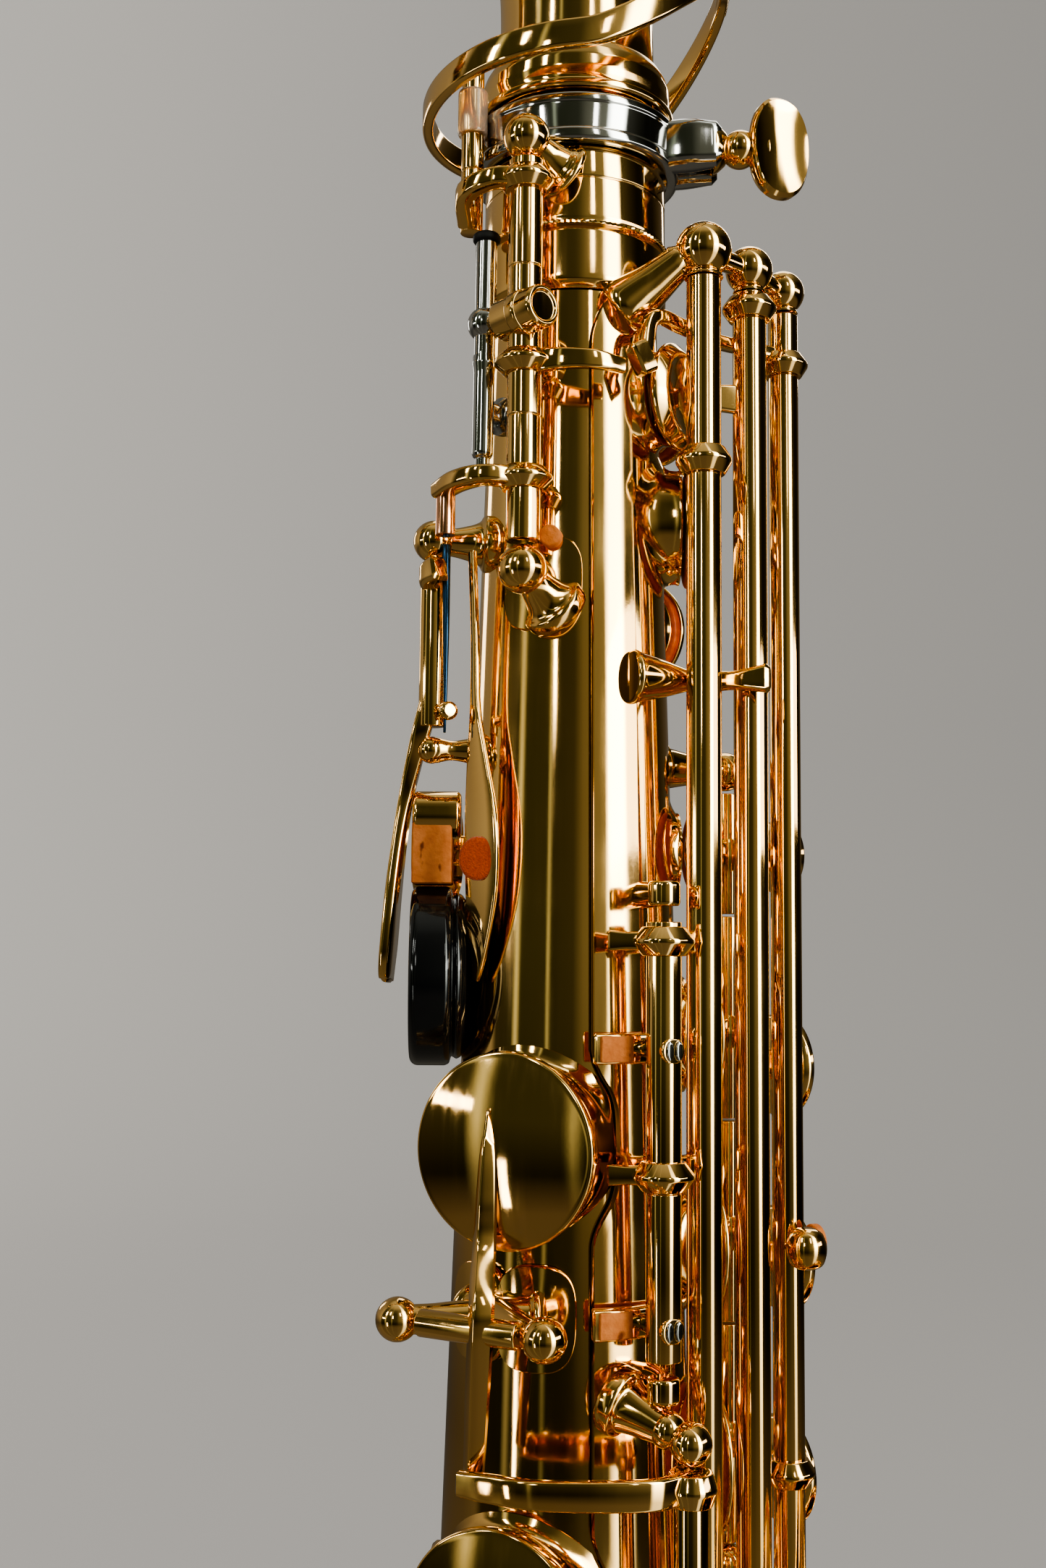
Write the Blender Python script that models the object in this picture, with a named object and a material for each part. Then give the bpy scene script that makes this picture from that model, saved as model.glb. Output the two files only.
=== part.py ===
"""Alto saxophone: body, bow, bell, neck and mouthpiece with its keywork.

The origin is the centre of the strap ring and +Z runs up the body tube.
Dimensions are in millimetres and become metres when a mesh is made.
Positions around the body are polar: an angle, a radius and a height.
+Y is the player's side, -Y is the bell side and -X is the player's right.
"""
import math

import bmesh
import bpy
from mathutils import Matrix, Vector

# ---------------------------------------------------------------- dimensions
MM = 0.001
AXIS_Y = -27.0            # body tube axis, behind the strap ring
TUBE_TOP = 187.2
TUBE_BOTTOM = -245.0
TUBE_TOP_R = 12.06        # outer radius at z = 188
TUBE_TAPER = 0.0295       # outer radius gained per millimetre of drop
TUBE_WALL = 1.1
BELL_OFFSET = 98.0        # body axis to bell axis
BELL_Y = AXIS_Y - BELL_OFFSET
BOW_Z = -262.0            # height of the centre of the bow's bend
BELL_RIM_Z = -25.0
BELL_RIM_R = 61.0
GAP = 0.35                # clearance between separate pieces
ROD_R = 2.2

# long rods on the right: angle, radius, top, bottom, rod radius
ROD_E = (231.5, 22.5, 188.0, -10.0, 2.4)
ROD_FS = (254.0, 25.9, 188.5, -40.0, 2.4)
ROD_G = (272.0, 31.0, 188.5, 3.5, 2.2)
STACK_TOP_ROD = (295.0, 25.9)
STACK_LOW_ROD = (228.0, 33.0)
OCTAVE_ROD = (157.0, 18.5)
THUMB_ROD = (107.0, 20.7)

# tone holes on the body: name, angle, height, chimney radius, chimney top radius
TONE_HOLES = [
    ("high_fs", 240.0, 173.0, 6.6, 14.8),
    ("high_e", 268.0, 156.0, 8.2, 15.6),
    ("palm_f", 302.0, 176.0, 6.6, 15.0),
    ("palm_eb", 325.0, 143.0, 7.4, 15.8),
    ("palm_d", 352.0, 114.0, 8.2, 16.8),
    ("c_vent", 273.0, 109.0, 5.4, 15.4),
    ("b_hole", 273.0, 83.0, 8.0, 16.2),
    ("a_hole", 273.0, 54.0, 8.4, 17.0),
    ("g_hole", 273.0, 25.0, 9.0, 17.7),
    ("side_c", 154.0, 68.7, 11.4, 18.0),
    ("side_bb", 154.0, 9.0, 11.4, 19.5),
    ("g_sharp", 286.0, -19.0, 8.2, 19.6),
    ("fs_hole", 262.0, -58.0, 10.0, 21.4),
    ("f_hole", 262.0, -88.0, 11.2, 22.4),
    ("e_hole", 262.0, -121.0, 12.0, 23.4),
    ("d_hole", 262.0, -156.0, 12.6, 24.4),
    ("low_eb", 222.0, -206.0, 12.6, 26.6),
]

BRASS = ((0.86, 0.62, 0.26), 0.12, 1.0)
STEEL = ((0.72, 0.72, 0.74), 0.18, 1.0)
BLACK = ((0.015, 0.015, 0.016), 0.25, 0.0)
CORK = ((0.62, 0.42, 0.28), 0.8, 0.0)
CANE = ((0.78, 0.66, 0.36), 0.6, 0.0)


# ---------------------------------------------------------------- positions
def polar(angle, radius, z):
    """Point at an angle and a radius about the body axis."""
    a = math.radians(angle)
    return Vector((radius * math.cos(a), AXIS_Y + radius * math.sin(a), z))


def outward(angle):
    a = math.radians(angle)
    return Vector((math.cos(a), math.sin(a), 0.0))


def sideways(angle):
    a = math.radians(angle)
    return Vector((-math.sin(a), math.cos(a), 0.0))


def tube_radius(z):
    return TUBE_TOP_R + (188.0 - z) * TUBE_TAPER


def aim(origin, direction, hint=Vector((0.0, 0.0, 1.0))):
    """Frame with its Z along a direction and its X near the hint."""
    z = direction.normalized()
    x = hint - z * hint.dot(z)
    if x.length < 1e-4:
        x = Vector((1.0, 0.0, 0.0)) - z * z.x
    x.normalize()
    y = z.cross(x)
    turn = Matrix((x, y, z)).transposed().to_4x4()
    return Matrix.Translation(origin) @ turn


# ---------------------------------------------------------------- pieces
def piece(verts, faces):
    """Closed mesh from points and faces, with its faces turned outward."""
    mesh = bpy.data.meshes.new("piece")
    mesh.from_pydata([Vector(v) * MM for v in verts], [], faces)
    bm = bmesh.new()
    bm.from_mesh(mesh)
    bmesh.ops.recalc_face_normals(bm, faces=bm.faces)
    bm.to_mesh(mesh)
    bm.free()
    return mesh


def turned(profile, frame, segs=10, ring=False):
    """Profile of (radius, height) turned about a frame's Z."""
    verts = []
    rows = []
    for radius, height in profile:
        start = len(verts)
        if radius < 1e-6:
            verts.append(frame @ Vector((0.0, 0.0, height)))
            rows.append([start])
            continue
        for k in range(segs):
            a = 2.0 * math.pi * (k + 0.5) / segs
            verts.append(frame @ Vector((radius * math.cos(a), radius * math.sin(a), height)))
        rows.append(list(range(start, start + segs)))
    pairs = list(zip(rows, rows[1:]))
    if ring:
        pairs.append((rows[-1], rows[0]))
    faces = []
    for low, high in pairs:
        for k in range(segs):
            j = (k + 1) % segs
            if len(low) == 1:
                faces.append((low[0], high[j], high[k]))
            elif len(high) == 1:
                faces.append((low[k], low[j], high[0]))
            else:
                faces.append((low[k], low[j], high[j], high[k]))
    if not ring:
        if len(rows[0]) > 1:
            faces.append(tuple(reversed(rows[0])))
        if len(rows[-1]) > 1:
            faces.append(tuple(rows[-1]))
    return piece(verts, faces)


def rod(start, end, radius, segs=10, end_radius=None):
    """Straight round bar, or a cone when its end radius differs."""
    other = radius if end_radius is None else end_radius
    length = (end - start).length
    return turned([(radius, 0.0), (other, length)], aim(start, end - start), segs)


def upright(angle, radius, top, bottom, thick, segs=8):
    return rod(polar(angle, radius, bottom), polar(angle, radius, top), thick, segs)


def ball(centre, radius, segs=8, rings=5):
    profile = []
    for k in range(rings + 1):
        a = math.pi * k / rings
        profile.append((max(0.0, radius * math.sin(a)), -radius * math.cos(a)))
    profile[0] = (0.0, -radius)
    profile[-1] = (0.0, radius)
    return turned(profile, Matrix.Translation(centre), segs)


def strip(points, width, thick, up):
    """Flat bar along points; its width runs along one direction given for each."""
    verts = []
    count = len(points)
    for k, point in enumerate(points):
        ahead = points[min(k + 1, count - 1)] - points[max(k - 1, 0)]
        ahead.normalize()
        across = up[k] if isinstance(up, list) else up
        across = (across - ahead * across.dot(ahead)).normalized()
        normal = ahead.cross(across)
        for a, b in ((-1, -1), (1, -1), (1, 1), (-1, 1)):
            verts.append(point + across * (a * width / 2.0) + normal * (b * thick / 2.0))
    faces = [(3, 2, 1, 0)]
    for k in range(count - 1):
        for j in range(4):
            i = (j + 1) % 4
            faces.append((4 * k + j, 4 * k + i, 4 * k + 4 + i, 4 * k + 4 + j))
    last = 4 * (count - 1)
    faces.append((last, last + 1, last + 2, last + 3))
    return piece(verts, faces)


def sweep_rows(points, radii, segs):
    """Rings of points square to a path."""
    rings = []
    count = len(points)
    for k, point in enumerate(points):
        ahead = (points[min(k + 1, count - 1)] - points[max(k - 1, 0)]).normalized()
        side = Vector((1.0, 0.0, 0.0))
        side = (side - ahead * side.dot(ahead)).normalized()
        other = ahead.cross(side)
        ring = []
        for j in range(segs):
            a = 2.0 * math.pi * j / segs
            ring.append(point + side * (radii[k] * math.cos(a)) + other * (radii[k] * math.sin(a)))
        rings.append(ring)
    return rings


def bent_tube(points, outer, inner, segs):
    """Hollow bent tube, or a solid one when inner is None."""
    rings = sweep_rows(points, outer, segs)
    closed = False
    if inner is not None:
        rings = rings + list(reversed(sweep_rows(points, inner, segs)))
        closed = True
    verts = [v for ring in rings for v in ring]
    faces = []
    count = len(rings)
    last = count if closed else count - 1
    for k in range(last):
        low = k * segs
        high = ((k + 1) % count) * segs
        for j in range(segs):
            i = (j + 1) % segs
            faces.append((low + j, low + i, high + i, high + j))
    if not closed:
        faces.append(tuple(reversed(range(segs))))
        faces.append(tuple(range((count - 1) * segs, count * segs)))
    return piece(verts, faces)


def loft_bar(sections):
    """Four-sided bar through sections of four points each."""
    verts = [v for section in sections for v in section]
    faces = [(3, 2, 1, 0)]
    for k in range(len(sections) - 1):
        for j in range(4):
            i = (j + 1) % 4
            faces.append((4 * k + j, 4 * k + i, 4 * k + 4 + i, 4 * k + 4 + j))
    last = 4 * (len(sections) - 1)
    faces.append((last, last + 1, last + 2, last + 3))
    return piece(verts, faces)


# ---------------------------------------------------------------- objects
def material(name, look):
    colour, rough, metal = look
    mat = bpy.data.materials.get(name) or bpy.data.materials.new(name)
    mat.use_nodes = True
    shader = mat.node_tree.nodes["Principled BSDF"]
    shader.inputs["Base Color"].default_value = (colour[0], colour[1], colour[2], 1.0)
    shader.inputs["Roughness"].default_value = rough
    shader.inputs["Metallic"].default_value = metal
    return mat


def combined(base, tool, operation):
    """Mesh of one Boolean step between two meshes."""
    first = bpy.data.objects.new("base", base)
    second = bpy.data.objects.new("tool", tool)
    bpy.context.scene.collection.objects.link(first)
    bpy.context.scene.collection.objects.link(second)
    step = first.modifiers.new("step", "BOOLEAN")
    step.operation = operation
    step.solver = "EXACT"
    step.object = second
    bpy.context.view_layer.update()
    graph = bpy.context.evaluated_depsgraph_get()
    result = bpy.data.meshes.new_from_object(first.evaluated_get(graph))
    bpy.data.objects.remove(first)
    bpy.data.objects.remove(second)
    return result


def node(name, look, adds, cuts=(), pivot=None, smooth=40.0, turn=0.0):
    """One named solid: a union of pieces with other pieces cut away.

    A key that stands open at rest is modelled closed and turned about its rod.
    """
    mesh = adds[0]
    for other in adds[1:]:
        mesh = combined(mesh, other, "UNION")
    for other in cuts:
        mesh = combined(mesh, other, "DIFFERENCE")
    bm = bmesh.new()
    bm.from_mesh(mesh)
    bmesh.ops.remove_doubles(bm, verts=bm.verts, dist=0.000004)
    bmesh.ops.dissolve_degenerate(bm, edges=bm.edges, dist=0.000004)
    bmesh.ops.dissolve_limit(bm, angle_limit=math.radians(0.4), verts=bm.verts, edges=bm.edges)
    bmesh.ops.triangulate(bm, faces=bm.faces)
    bm.to_mesh(mesh)
    bm.free()
    mesh.name = name
    mesh.materials.clear()
    mesh.materials.append(material(name, look))
    thing = bpy.data.objects.new(name, mesh)
    bpy.context.scene.collection.objects.link(thing)
    if pivot is not None:
        at = pivot * MM
        mesh.transform(Matrix.Rotation(math.radians(turn), 4, "Z") @ Matrix.Translation(-at))
        thing.location = at
    mesh.shade_smooth()
    mesh.set_sharp_from_angle(angle=math.radians(smooth))
    return thing


# ---------------------------------------------------------------- key pieces
def post(angle, radius, z, ball_r=3.0, base_angle=None, base_z=None, foot=3.4):
    """Soldered post: a tapered stem from the tube to a ball on the rod's line."""
    side = angle if base_angle is None else base_angle
    low = z if base_z is None else base_z
    start = polar(side, tube_radius(low) - 0.7, low)
    end = polar(angle, radius, z)
    return [rod(start, end, foot, 6, 1.7), ball(end, ball_r, 6, 4)]


def cup(angle, z, pad_r, seat, depth=4.0, segs=14):
    """Key cup with its pad; seat is the radius where the pad's face lies."""
    frame = aim(polar(angle, seat, z), outward(angle))
    profile = [(pad_r, 0.0), (pad_r, 2.0), (pad_r * 0.6, depth)]
    return turned(profile, frame, segs)


def arm_to_cup(rod_place, angle, z, seat, depth=4.0, width=4.4, rod_z=None):
    """Arm from a rod over the back of a cup."""
    start = polar(rod_place[0], rod_place[1], z if rod_z is None else rod_z)
    crown = polar(angle, seat + depth - 0.5, z)
    middle = (start + crown) / 2.0 + outward((rod_place[0] + angle) / 2.0) * 0.3
    up = Vector((0.0, 0.0, 1.0))
    over = crown + (crown - start).normalized() * 2.0
    return strip([start, middle, crown, over], width, 1.5, up)


def pearl(angle, radius, z, size=7.5):
    """Round finger touch."""
    frame = aim(polar(angle, radius, z), outward(angle))
    return turned([(size * 0.55, -1.6), (size, -0.4), (size, 1.2)], frame, 10)


def paddle(angle, radius, z, width, height, thick=2.2):
    """Flat side touch with a crowned face."""
    sections = []
    for t, w, lift in ((-1.0, 0.62, -0.6), (-0.55, 1.0, 0.2), (0.55, 1.0, 0.2), (1.0, 0.62, -0.6)):
        centre = polar(angle, radius + lift, z + t * height / 2.0)
        side = sideways(angle) * (w * width / 2.0)
        out = outward(angle) * (thick / 2.0)
        sections.append([centre - side - out, centre + side - out, centre + side + out, centre - side + out])
    return loft_bar(sections)


def tube_clear(top, bottom, lift=GAP):
    """Cutter that keeps a piece clear of the body tube."""
    frame = Matrix.Translation((0.0, AXIS_Y, 0.0))
    return turned([(tube_radius(bottom) + lift, bottom), (tube_radius(top) + lift, top)], frame, 36)


def place(rod_place, z=0.0):
    return polar(rod_place[0], rod_place[1], z)


# ---------------------------------------------------------------- body
def bell_radius(z):
    """Outer radius of the bell at a height."""
    drop = BELL_RIM_Z - z
    return 31.0 + 30.0 * math.exp(-drop / 17.0) + 0.034 * max(0.0, 215.0 - drop)


def body_tube():
    frame = Matrix.Translation((0.0, AXIS_Y, 0.0))
    outer = turned([(tube_radius(TUBE_BOTTOM), TUBE_BOTTOM), (tube_radius(TUBE_TOP), TUBE_TOP)], frame, 24)
    adds = [outer]
    cuts = []
    low_r = tube_radius(TUBE_BOTTOM - 5.0) - TUBE_WALL
    top_r = tube_radius(TUBE_TOP + 5.0) - TUBE_WALL
    for _, angle, z, radius, top in TONE_HOLES:
        root = math.sqrt(max(4.0, tube_radius(z) ** 2 - radius ** 2)) - 1.0
        frame_at = aim(polar(angle, 0.0, z), outward(angle))
        adds.append(turned([(radius, root), (radius, top)], frame_at, 12))
        cuts.append(turned([(radius - 1.0, 2.0), (radius - 1.0, top + 2.0)], frame_at, 12))
    adds += soldered_posts()
    cuts.insert(0, turned([(low_r, TUBE_BOTTOM - 5.0), (top_r, TUBE_TOP + 5.0)], frame, 24))
    node("body_tube", BRASS, adds, cuts, smooth=35.0)


def soldered_posts():
    """Posts that hold the hinge rods on the sides with no rib plate."""
    pieces = []
    pieces += post(157.0, 18.5, 146.0, 3.4, 172.0, 142.5, 4.2)
    pieces += post(107.0, 20.7, 152.3, 3.0, 112.0)
    pieces += post(107.0, 20.7, 122.5, 3.0, 112.0)
    for angle, radius, z in ((295.0, 25.9, 121.6), (295.0, 25.9, 7.2)):
        pieces += post(angle, radius, z, 2.9)
    for angle, radius, z in PALM_POSTS:
        pieces += post(angle, radius, z, 2.8, None, None, 3.0)
    for z in (-40.8, -105.0, -178.0):
        pieces += post(228.0, 33.0, z, 3.1)
    for angle, z in ((318.0, -1.0), (318.0, -35.6)):
        pieces += post(angle, 28.0, z, 2.9)
    pieces += post(320.0, 31.0, -116.2, 2.9)
    pieces += post(333.0, 31.0, -176.0, 2.9)
    pieces += post(347.0, 31.0, -236.0, 2.9)
    pieces += post(192.0, 35.0, -183.0, 3.0)
    pieces += post(192.0, 35.0, -232.0, 3.0)
    pieces += post(196.0, 27.5, -106.0, 2.8)
    return pieces


PALM_POSTS = [
    (330.0, 21.5, 187.0 - 3.0), (330.0, 21.5, 160.0),
    (358.0, 21.8, 156.0), (358.0, 21.8, 131.5),
    (25.0, 22.8, 132.0), (25.0, 22.8, 103.0),
]


def bow():
    """U bend from the body tube to the bell."""
    points = [Vector((0.0, AXIS_Y, TUBE_BOTTOM - GAP))]
    outer = [tube_radius(TUBE_BOTTOM) + 0.4]
    steps = 10
    for k in range(steps + 1):
        a = math.pi * k / steps
        y = AXIS_Y - BELL_OFFSET / 2.0 + BELL_OFFSET / 2.0 * math.cos(a)
        z = BOW_Z - BELL_OFFSET / 2.0 * math.sin(a)
        points.append(Vector((0.0, y, z)))
        outer.append(25.4 + 5.6 * (k + 1) / (steps + 1))
    points.append(Vector((0.0, BELL_Y, TUBE_BOTTOM - GAP)))
    outer.append(31.2)
    inner = [r - 1.2 for r in outer]
    adds = [bent_tube(points, outer, None, 16)]
    cuts = []
    low_c = aim(Vector((-8.0, AXIS_Y - 38.0, -309.0)), Vector((-1.0, 0.0, 0.0)))
    low_cs = aim(Vector((8.0, AXIS_Y - 60.0, -309.0)), Vector((1.0, 0.0, 0.0)))
    for frame in (low_c, low_cs):
        adds.append(turned([(14.0, 10.0), (14.0, 23.5)], frame, 16))
        cuts.append(turned([(12.8, 4.0), (12.8, 26.0)], frame, 16))
    shell_in = bent_tube(points, inner, None, 16)
    cuts.insert(0, shell_in)
    node("bow", BRASS, adds, cuts)


def bell():
    """Flared bell with a rolled rim."""
    frame = Matrix.Translation((0.0, BELL_Y, 0.0))
    heights = [TUBE_BOTTOM + GAP, -180.0, -112.0, -80.0, -60.0, -46.0, -37.0, -30.0]
    outside = [(bell_radius(z), z) for z in heights]
    outside.append((BELL_RIM_R - 0.6, BELL_RIM_Z - 2.6))
    outside.append((BELL_RIM_R, BELL_RIM_Z - 1.4))
    outside.append((BELL_RIM_R, BELL_RIM_Z))
    inside = [(bell_radius(heights[0]) - 1.3, heights[0] - 5.0)]
    inside += [(bell_radius(z) - 1.3, z) for z in heights]
    inside.append((BELL_RIM_R - 4.0, BELL_RIM_Z - 1.6))
    inside.append((BELL_RIM_R - 3.4, BELL_RIM_Z + 4.0))
    adds = [turned(outside, frame, 28)]
    cuts = [turned(inside, frame, 28)]
    for z, radius, top in ((-96.0, 17.0, 33.0), (-152.0, 17.0, 31.0)):
        at = aim(Vector((10.0, BELL_Y, z)), Vector((1.0, 0.0, 0.0)))
        adds.append(turned([(radius, 12.0), (radius, top)], at, 16))
        cuts.append(turned([(radius - 1.2, 6.0), (radius - 1.2, 36.0)], at, 16))
    node("bell", BRASS, adds, cuts)


def ring_band(name, centre_y, z, inner, height):
    frame = Matrix.Translation((0.0, centre_y, z))
    half = height / 2.0
    profile = [(inner, -half), (inner + 1.4, -half), (inner + 2.1, -half + 1.4), (inner + 2.1, half - 1.4),
               (inner + 1.4, half), (inner, half)]
    node(name, BRASS, [turned(profile, frame, 24, ring=True)])


def bell_brace():
    """Ring brace between the body tube and the bell."""
    z = -190.0
    near = AXIS_Y - tube_radius(z) - 0.5
    far = BELL_Y + bell_radius(z) + 0.5
    centre = Vector((8.0, (near + far) / 2.0 - 2.0, z))
    frame = aim(centre, Vector((1.0, 0.0, 0.0)))
    ring = turned([(6.6, -1.3), (9.2, -1.3), (9.2, 1.3), (6.6, 1.3)], frame, 20, ring=True)
    body_foot = rod(Vector((8.0, near - 1.5 + 3.0, z)), Vector((8.0, centre.y + 8.0, z)), 2.6, 8, 2.0)
    bell_foot = rod(Vector((8.0, centre.y - 8.0, z)), Vector((8.0, far + 0.2, z)), 2.0, 8, 2.6)
    tube_cut = turned([(tube_radius(-230.0) + 0.9, -230.0), (tube_radius(-150.0) + 0.9, -150.0)],
                      Matrix.Translation((0.0, AXIS_Y, 0.0)), 24)
    bell_cut = turned([(bell_radius(-222.0) + 0.5, -222.0), (bell_radius(-190.0) + 0.6, -190.0),
                       (bell_radius(-158.0) + 0.9, -158.0)], Matrix.Translation((0.0, BELL_Y, 0.0)), 36)
    node("bell_brace", BRASS, [ring, body_foot, bell_foot], [tube_cut, bell_cut])


def neck_receiver():
    frame = Matrix.Translation((0.0, AXIS_Y, 0.0))
    profile = [(12.15, 187.6), (13.3, 187.6), (13.5, 195.2), (15.0, 195.8), (15.0, 197.0), (13.6, 197.6),
               (13.6, 207.2), (13.2, 207.4), (13.2, 215.4), (12.15, 215.4)]
    adds = [turned(profile, frame, 24, ring=True)]
    adds.append(rod(polar(172.0, 12.9, 203.6), polar(157.0, 18.5, 206.8), 2.8, 8, 1.6))
    adds.append(ball(polar(157.0, 18.5, 206.9), 2.8))
    inside = turned([(12.15, 180.0), (12.15, 230.0)], frame, 24)
    clamp = turned([(13.25, 207.55), (15.8, 207.55), (15.8, 217.0), (13.25, 217.0)], frame, 24, ring=True)
    node("neck_receiver", BRASS, adds, [inside, clamp])


def receiver_clamp():
    frame = Matrix.Translation((0.0, AXIS_Y, 0.0))
    collar = turned([(13.55, 207.9), (15.4, 207.9), (15.4, 215.0), (13.55, 215.0)], frame, 24, ring=True)
    lug = strip([Vector((-5.0, AXIS_Y - 12.6, 211.4)), Vector((-5.0, AXIS_Y - 20.4, 211.4))], 7.0, 8.0,
                Vector((0.0, 0.0, 1.0)))
    bore = turned([(13.55, 200.0), (13.55, 222.0)], frame, 24)
    slot = strip([Vector((1.6, AXIS_Y - 10.0, 211.4)), Vector((1.6, AXIS_Y - 26.0, 211.4))], 12.0, 1.4,
                 Vector((0.0, 0.0, 1.0)))
    hole = rod(Vector((-5.0, AXIS_Y - 15.6, 211.4)), Vector((-5.0, AXIS_Y - 23.0, 211.4)), 2.1, 10)
    node("receiver_clamp", STEEL, [collar, lug], [bore, slot, hole])


def receiver_screw():
    """Spade screw that pinches the receiver's clamp."""
    def at(y):
        return Vector((-5.0, AXIS_Y - y, 211.4))

    shank = rod(at(16.2), at(23.0), 1.6, 8)
    squash = Matrix.Diagonal((1.0, 0.66, 1.0, 1.0))
    spade = turned([(6.4, -1.8), (7.6, -0.8), (7.6, 0.8), (6.4, 1.8)],
                   aim(at(29.5), Vector((-1.0, 0.0, 0.0))) @ squash, 14)
    node("receiver_screw", BRASS, [shank, ball(at(23.6), 2.9), rod(at(23.6), at(28.0), 1.8, 8), spade],
         pivot=at(20.0))


def strap_ring():
    """Ring for the neck strap on its soldered plate."""
    plate = strip([polar(90.0, tube_radius(0.0) + 1.0, -13.0), polar(90.0, tube_radius(0.0) + 1.0, 13.0)],
                  11.0, 1.4, sideways(90.0))
    loop = turned([(3.6, -1.3), (6.2, -1.3), (6.2, 1.3), (3.6, 1.3)],
                  aim(Vector((0.0, 0.0, 0.0)), Vector((1.0, 0.0, 0.0))), 18, ring=True)
    stem = rod(polar(90.0, tube_radius(0.0) + 1.0, 0.0), Vector((0.0, -4.2, 0.0)), 3.0, 10, 2.2)
    node("strap_ring", BRASS, [plate, stem, loop])


def thumb_rest():
    seat = tube_radius(91.0) + GAP
    frame = aim(polar(92.0, seat, 91.0), outward(92.0))
    node("thumb_rest", BLACK, [turned([(7.0, 0.0), (7.0, 1.6), (12.0, 2.4), (12.6, 4.2), (12.0, 6.2), (9.0, 7.2),
                                       (4.0, 7.4)], frame, 24)])


def thumb_hook():
    z = -95.0
    seat = tube_radius(z)
    plate = strip([polar(95.0, seat + 1.1, z - 15.0), polar(95.0, seat + 0.6, z + 15.0)], 12.0, 1.2, sideways(95.0))
    stem = strip([polar(95.0, seat + 1.0, z), polar(95.0, seat + 10.0, z + 1.0), polar(95.0, seat + 18.0, z - 5.0),
                  polar(95.0, seat + 19.0, z - 15.0)], 13.0, 2.0, sideways(95.0))
    node("thumb_hook", BRASS, [plate, stem])


def right_rib():
    """Rib plate down the player's right with the posts of the long rods."""
    rib = curved_plate(190.0, 214.0, 186.0, -75.0, GAP + 0.15, 1.1)
    adds = [rib]
    adds.append(rod(polar(212.0, tube_radius(187.0) + 0.9, 184.5), polar(224.0, 18.8, 192.0), 3.6, 10, 2.4))
    adds.append(strip([polar(224.0, 18.8, 192.0), polar(233.0, 22.6, 192.1), polar(254.0, 25.9, 192.1),
                       polar(272.0, 31.0, 192.1)], 2.8, 3.0, Vector((0.0, 0.0, 1.0))))
    for (angle, radius, top, _, _), size in ((ROD_E, 3.7), (ROD_FS, 3.3), (ROD_G, 3.1)):
        adds.append(ball(polar(angle, radius, 192.2), size))
    cuts = [tube_clear(190.0, 160.0, GAP + 0.1)]
    cuts.append(turned([(15.5, 187.3), (15.5, 200.0)], Matrix.Translation((0.0, AXIS_Y, 0.0)), 24))
    for _, angle, z, radius, top in TONE_HOLES:
        if 100.0 < angle < 250.0 and z > -80.0:
            frame = aim(polar(angle, 0.0, z), outward(angle))
            cuts.append(turned([(radius + 1.2, 3.0), (radius + 1.2, top + 1.0)], frame, 16))
    node("right_rib", BRASS, adds, cuts)


def curved_plate(angle0, angle1, top, bottom, lift, thick, steps=4):
    """Thin plate that follows the tube between two angles."""
    verts = []
    for z in (bottom, top):
        low = tube_radius(z) + lift
        for radius in (low, low + thick):
            for k in range(steps + 1):
                verts.append(polar(angle0 + (angle1 - angle0) * k / steps, radius, z))
    n = steps + 1
    faces = []
    for k in range(steps):
        faces.append((k, k + 1, n + k + 1, n + k))
        faces.append((2 * n + k, 2 * n + k + 1, 3 * n + k + 1, 3 * n + k))
        faces.append((k, k + 1, 2 * n + k + 1, 2 * n + k))
        faces.append((n + k, n + k + 1, 3 * n + k + 1, 3 * n + k))
    faces.append((0, n, 3 * n, 2 * n))
    faces.append((n - 1, 2 * n - 1, 4 * n - 1, 3 * n - 1))
    return piece(verts, faces)


def side_posts(name, z):
    """Pair of posts for a transverse hinge beside a side tone hole."""
    hinge_r = 26.1
    centre = polar(150.0, hinge_r, z)
    along = sideways(150.0)
    lift = GAP + 0.15
    adds = [curved_plate(124.0, 176.0, z + 7.0, z - 7.0, lift, 1.2)]
    for side in (1.0, -1.0):
        end = centre + along * (side * 10.9)
        start = polar(150.0 + side * 18.0, tube_radius(z) + lift + 0.8, z)
        adds.append(rod(start, end, 2.8, 8, 1.6))
        adds.append(ball(end, 2.8))
    node(name, BRASS, adds, [tube_clear(z + 20.0, z - 20.0)])


def rods_mid_post():
    """Middle support of the long rods, kept clear of them."""
    z = 132.0
    start = polar(222.0, tube_radius(z) + GAP + 0.1, z)
    tip = polar(243.0, 20.4, z)
    end = polar(243.5, 29.5, z)
    bar = strip([start, tip, end], 6.0, 2.6, Vector((0.0, 0.0, 1.0)))
    cuts = [tube_clear(150.0, 110.0)]
    for angle, radius, _, _, thick in (ROD_E, ROD_FS):
        cuts.append(rod(polar(angle, radius, z - 8.0), polar(angle, radius, z + 8.0), thick + GAP, 12))
    node("rods_mid_post", BRASS, [bar], cuts)


# ---------------------------------------------------------------- neck
NECK_PATH = [(0.0, 222.0), (0.0, 234.0), (1.2, 243.0), (4.8, 252.0), (11.0, 260.5), (20.0, 268.5), (33.0, 276.0),
             (50.0, 282.0), (72.0, 285.5), (95.0, 285.8), (118.0, 282.8), (140.0, 277.0)]


def neck_points():
    return [Vector((0.0, AXIS_Y + y, z)) for y, z in NECK_PATH]


def neck_radii():
    points = neck_points()
    run = [0.0]
    for a, b in zip(points, points[1:]):
        run.append(run[-1] + (b - a).length)
    return [11.7 - 5.5 * d / run[-1] for d in run]


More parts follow.
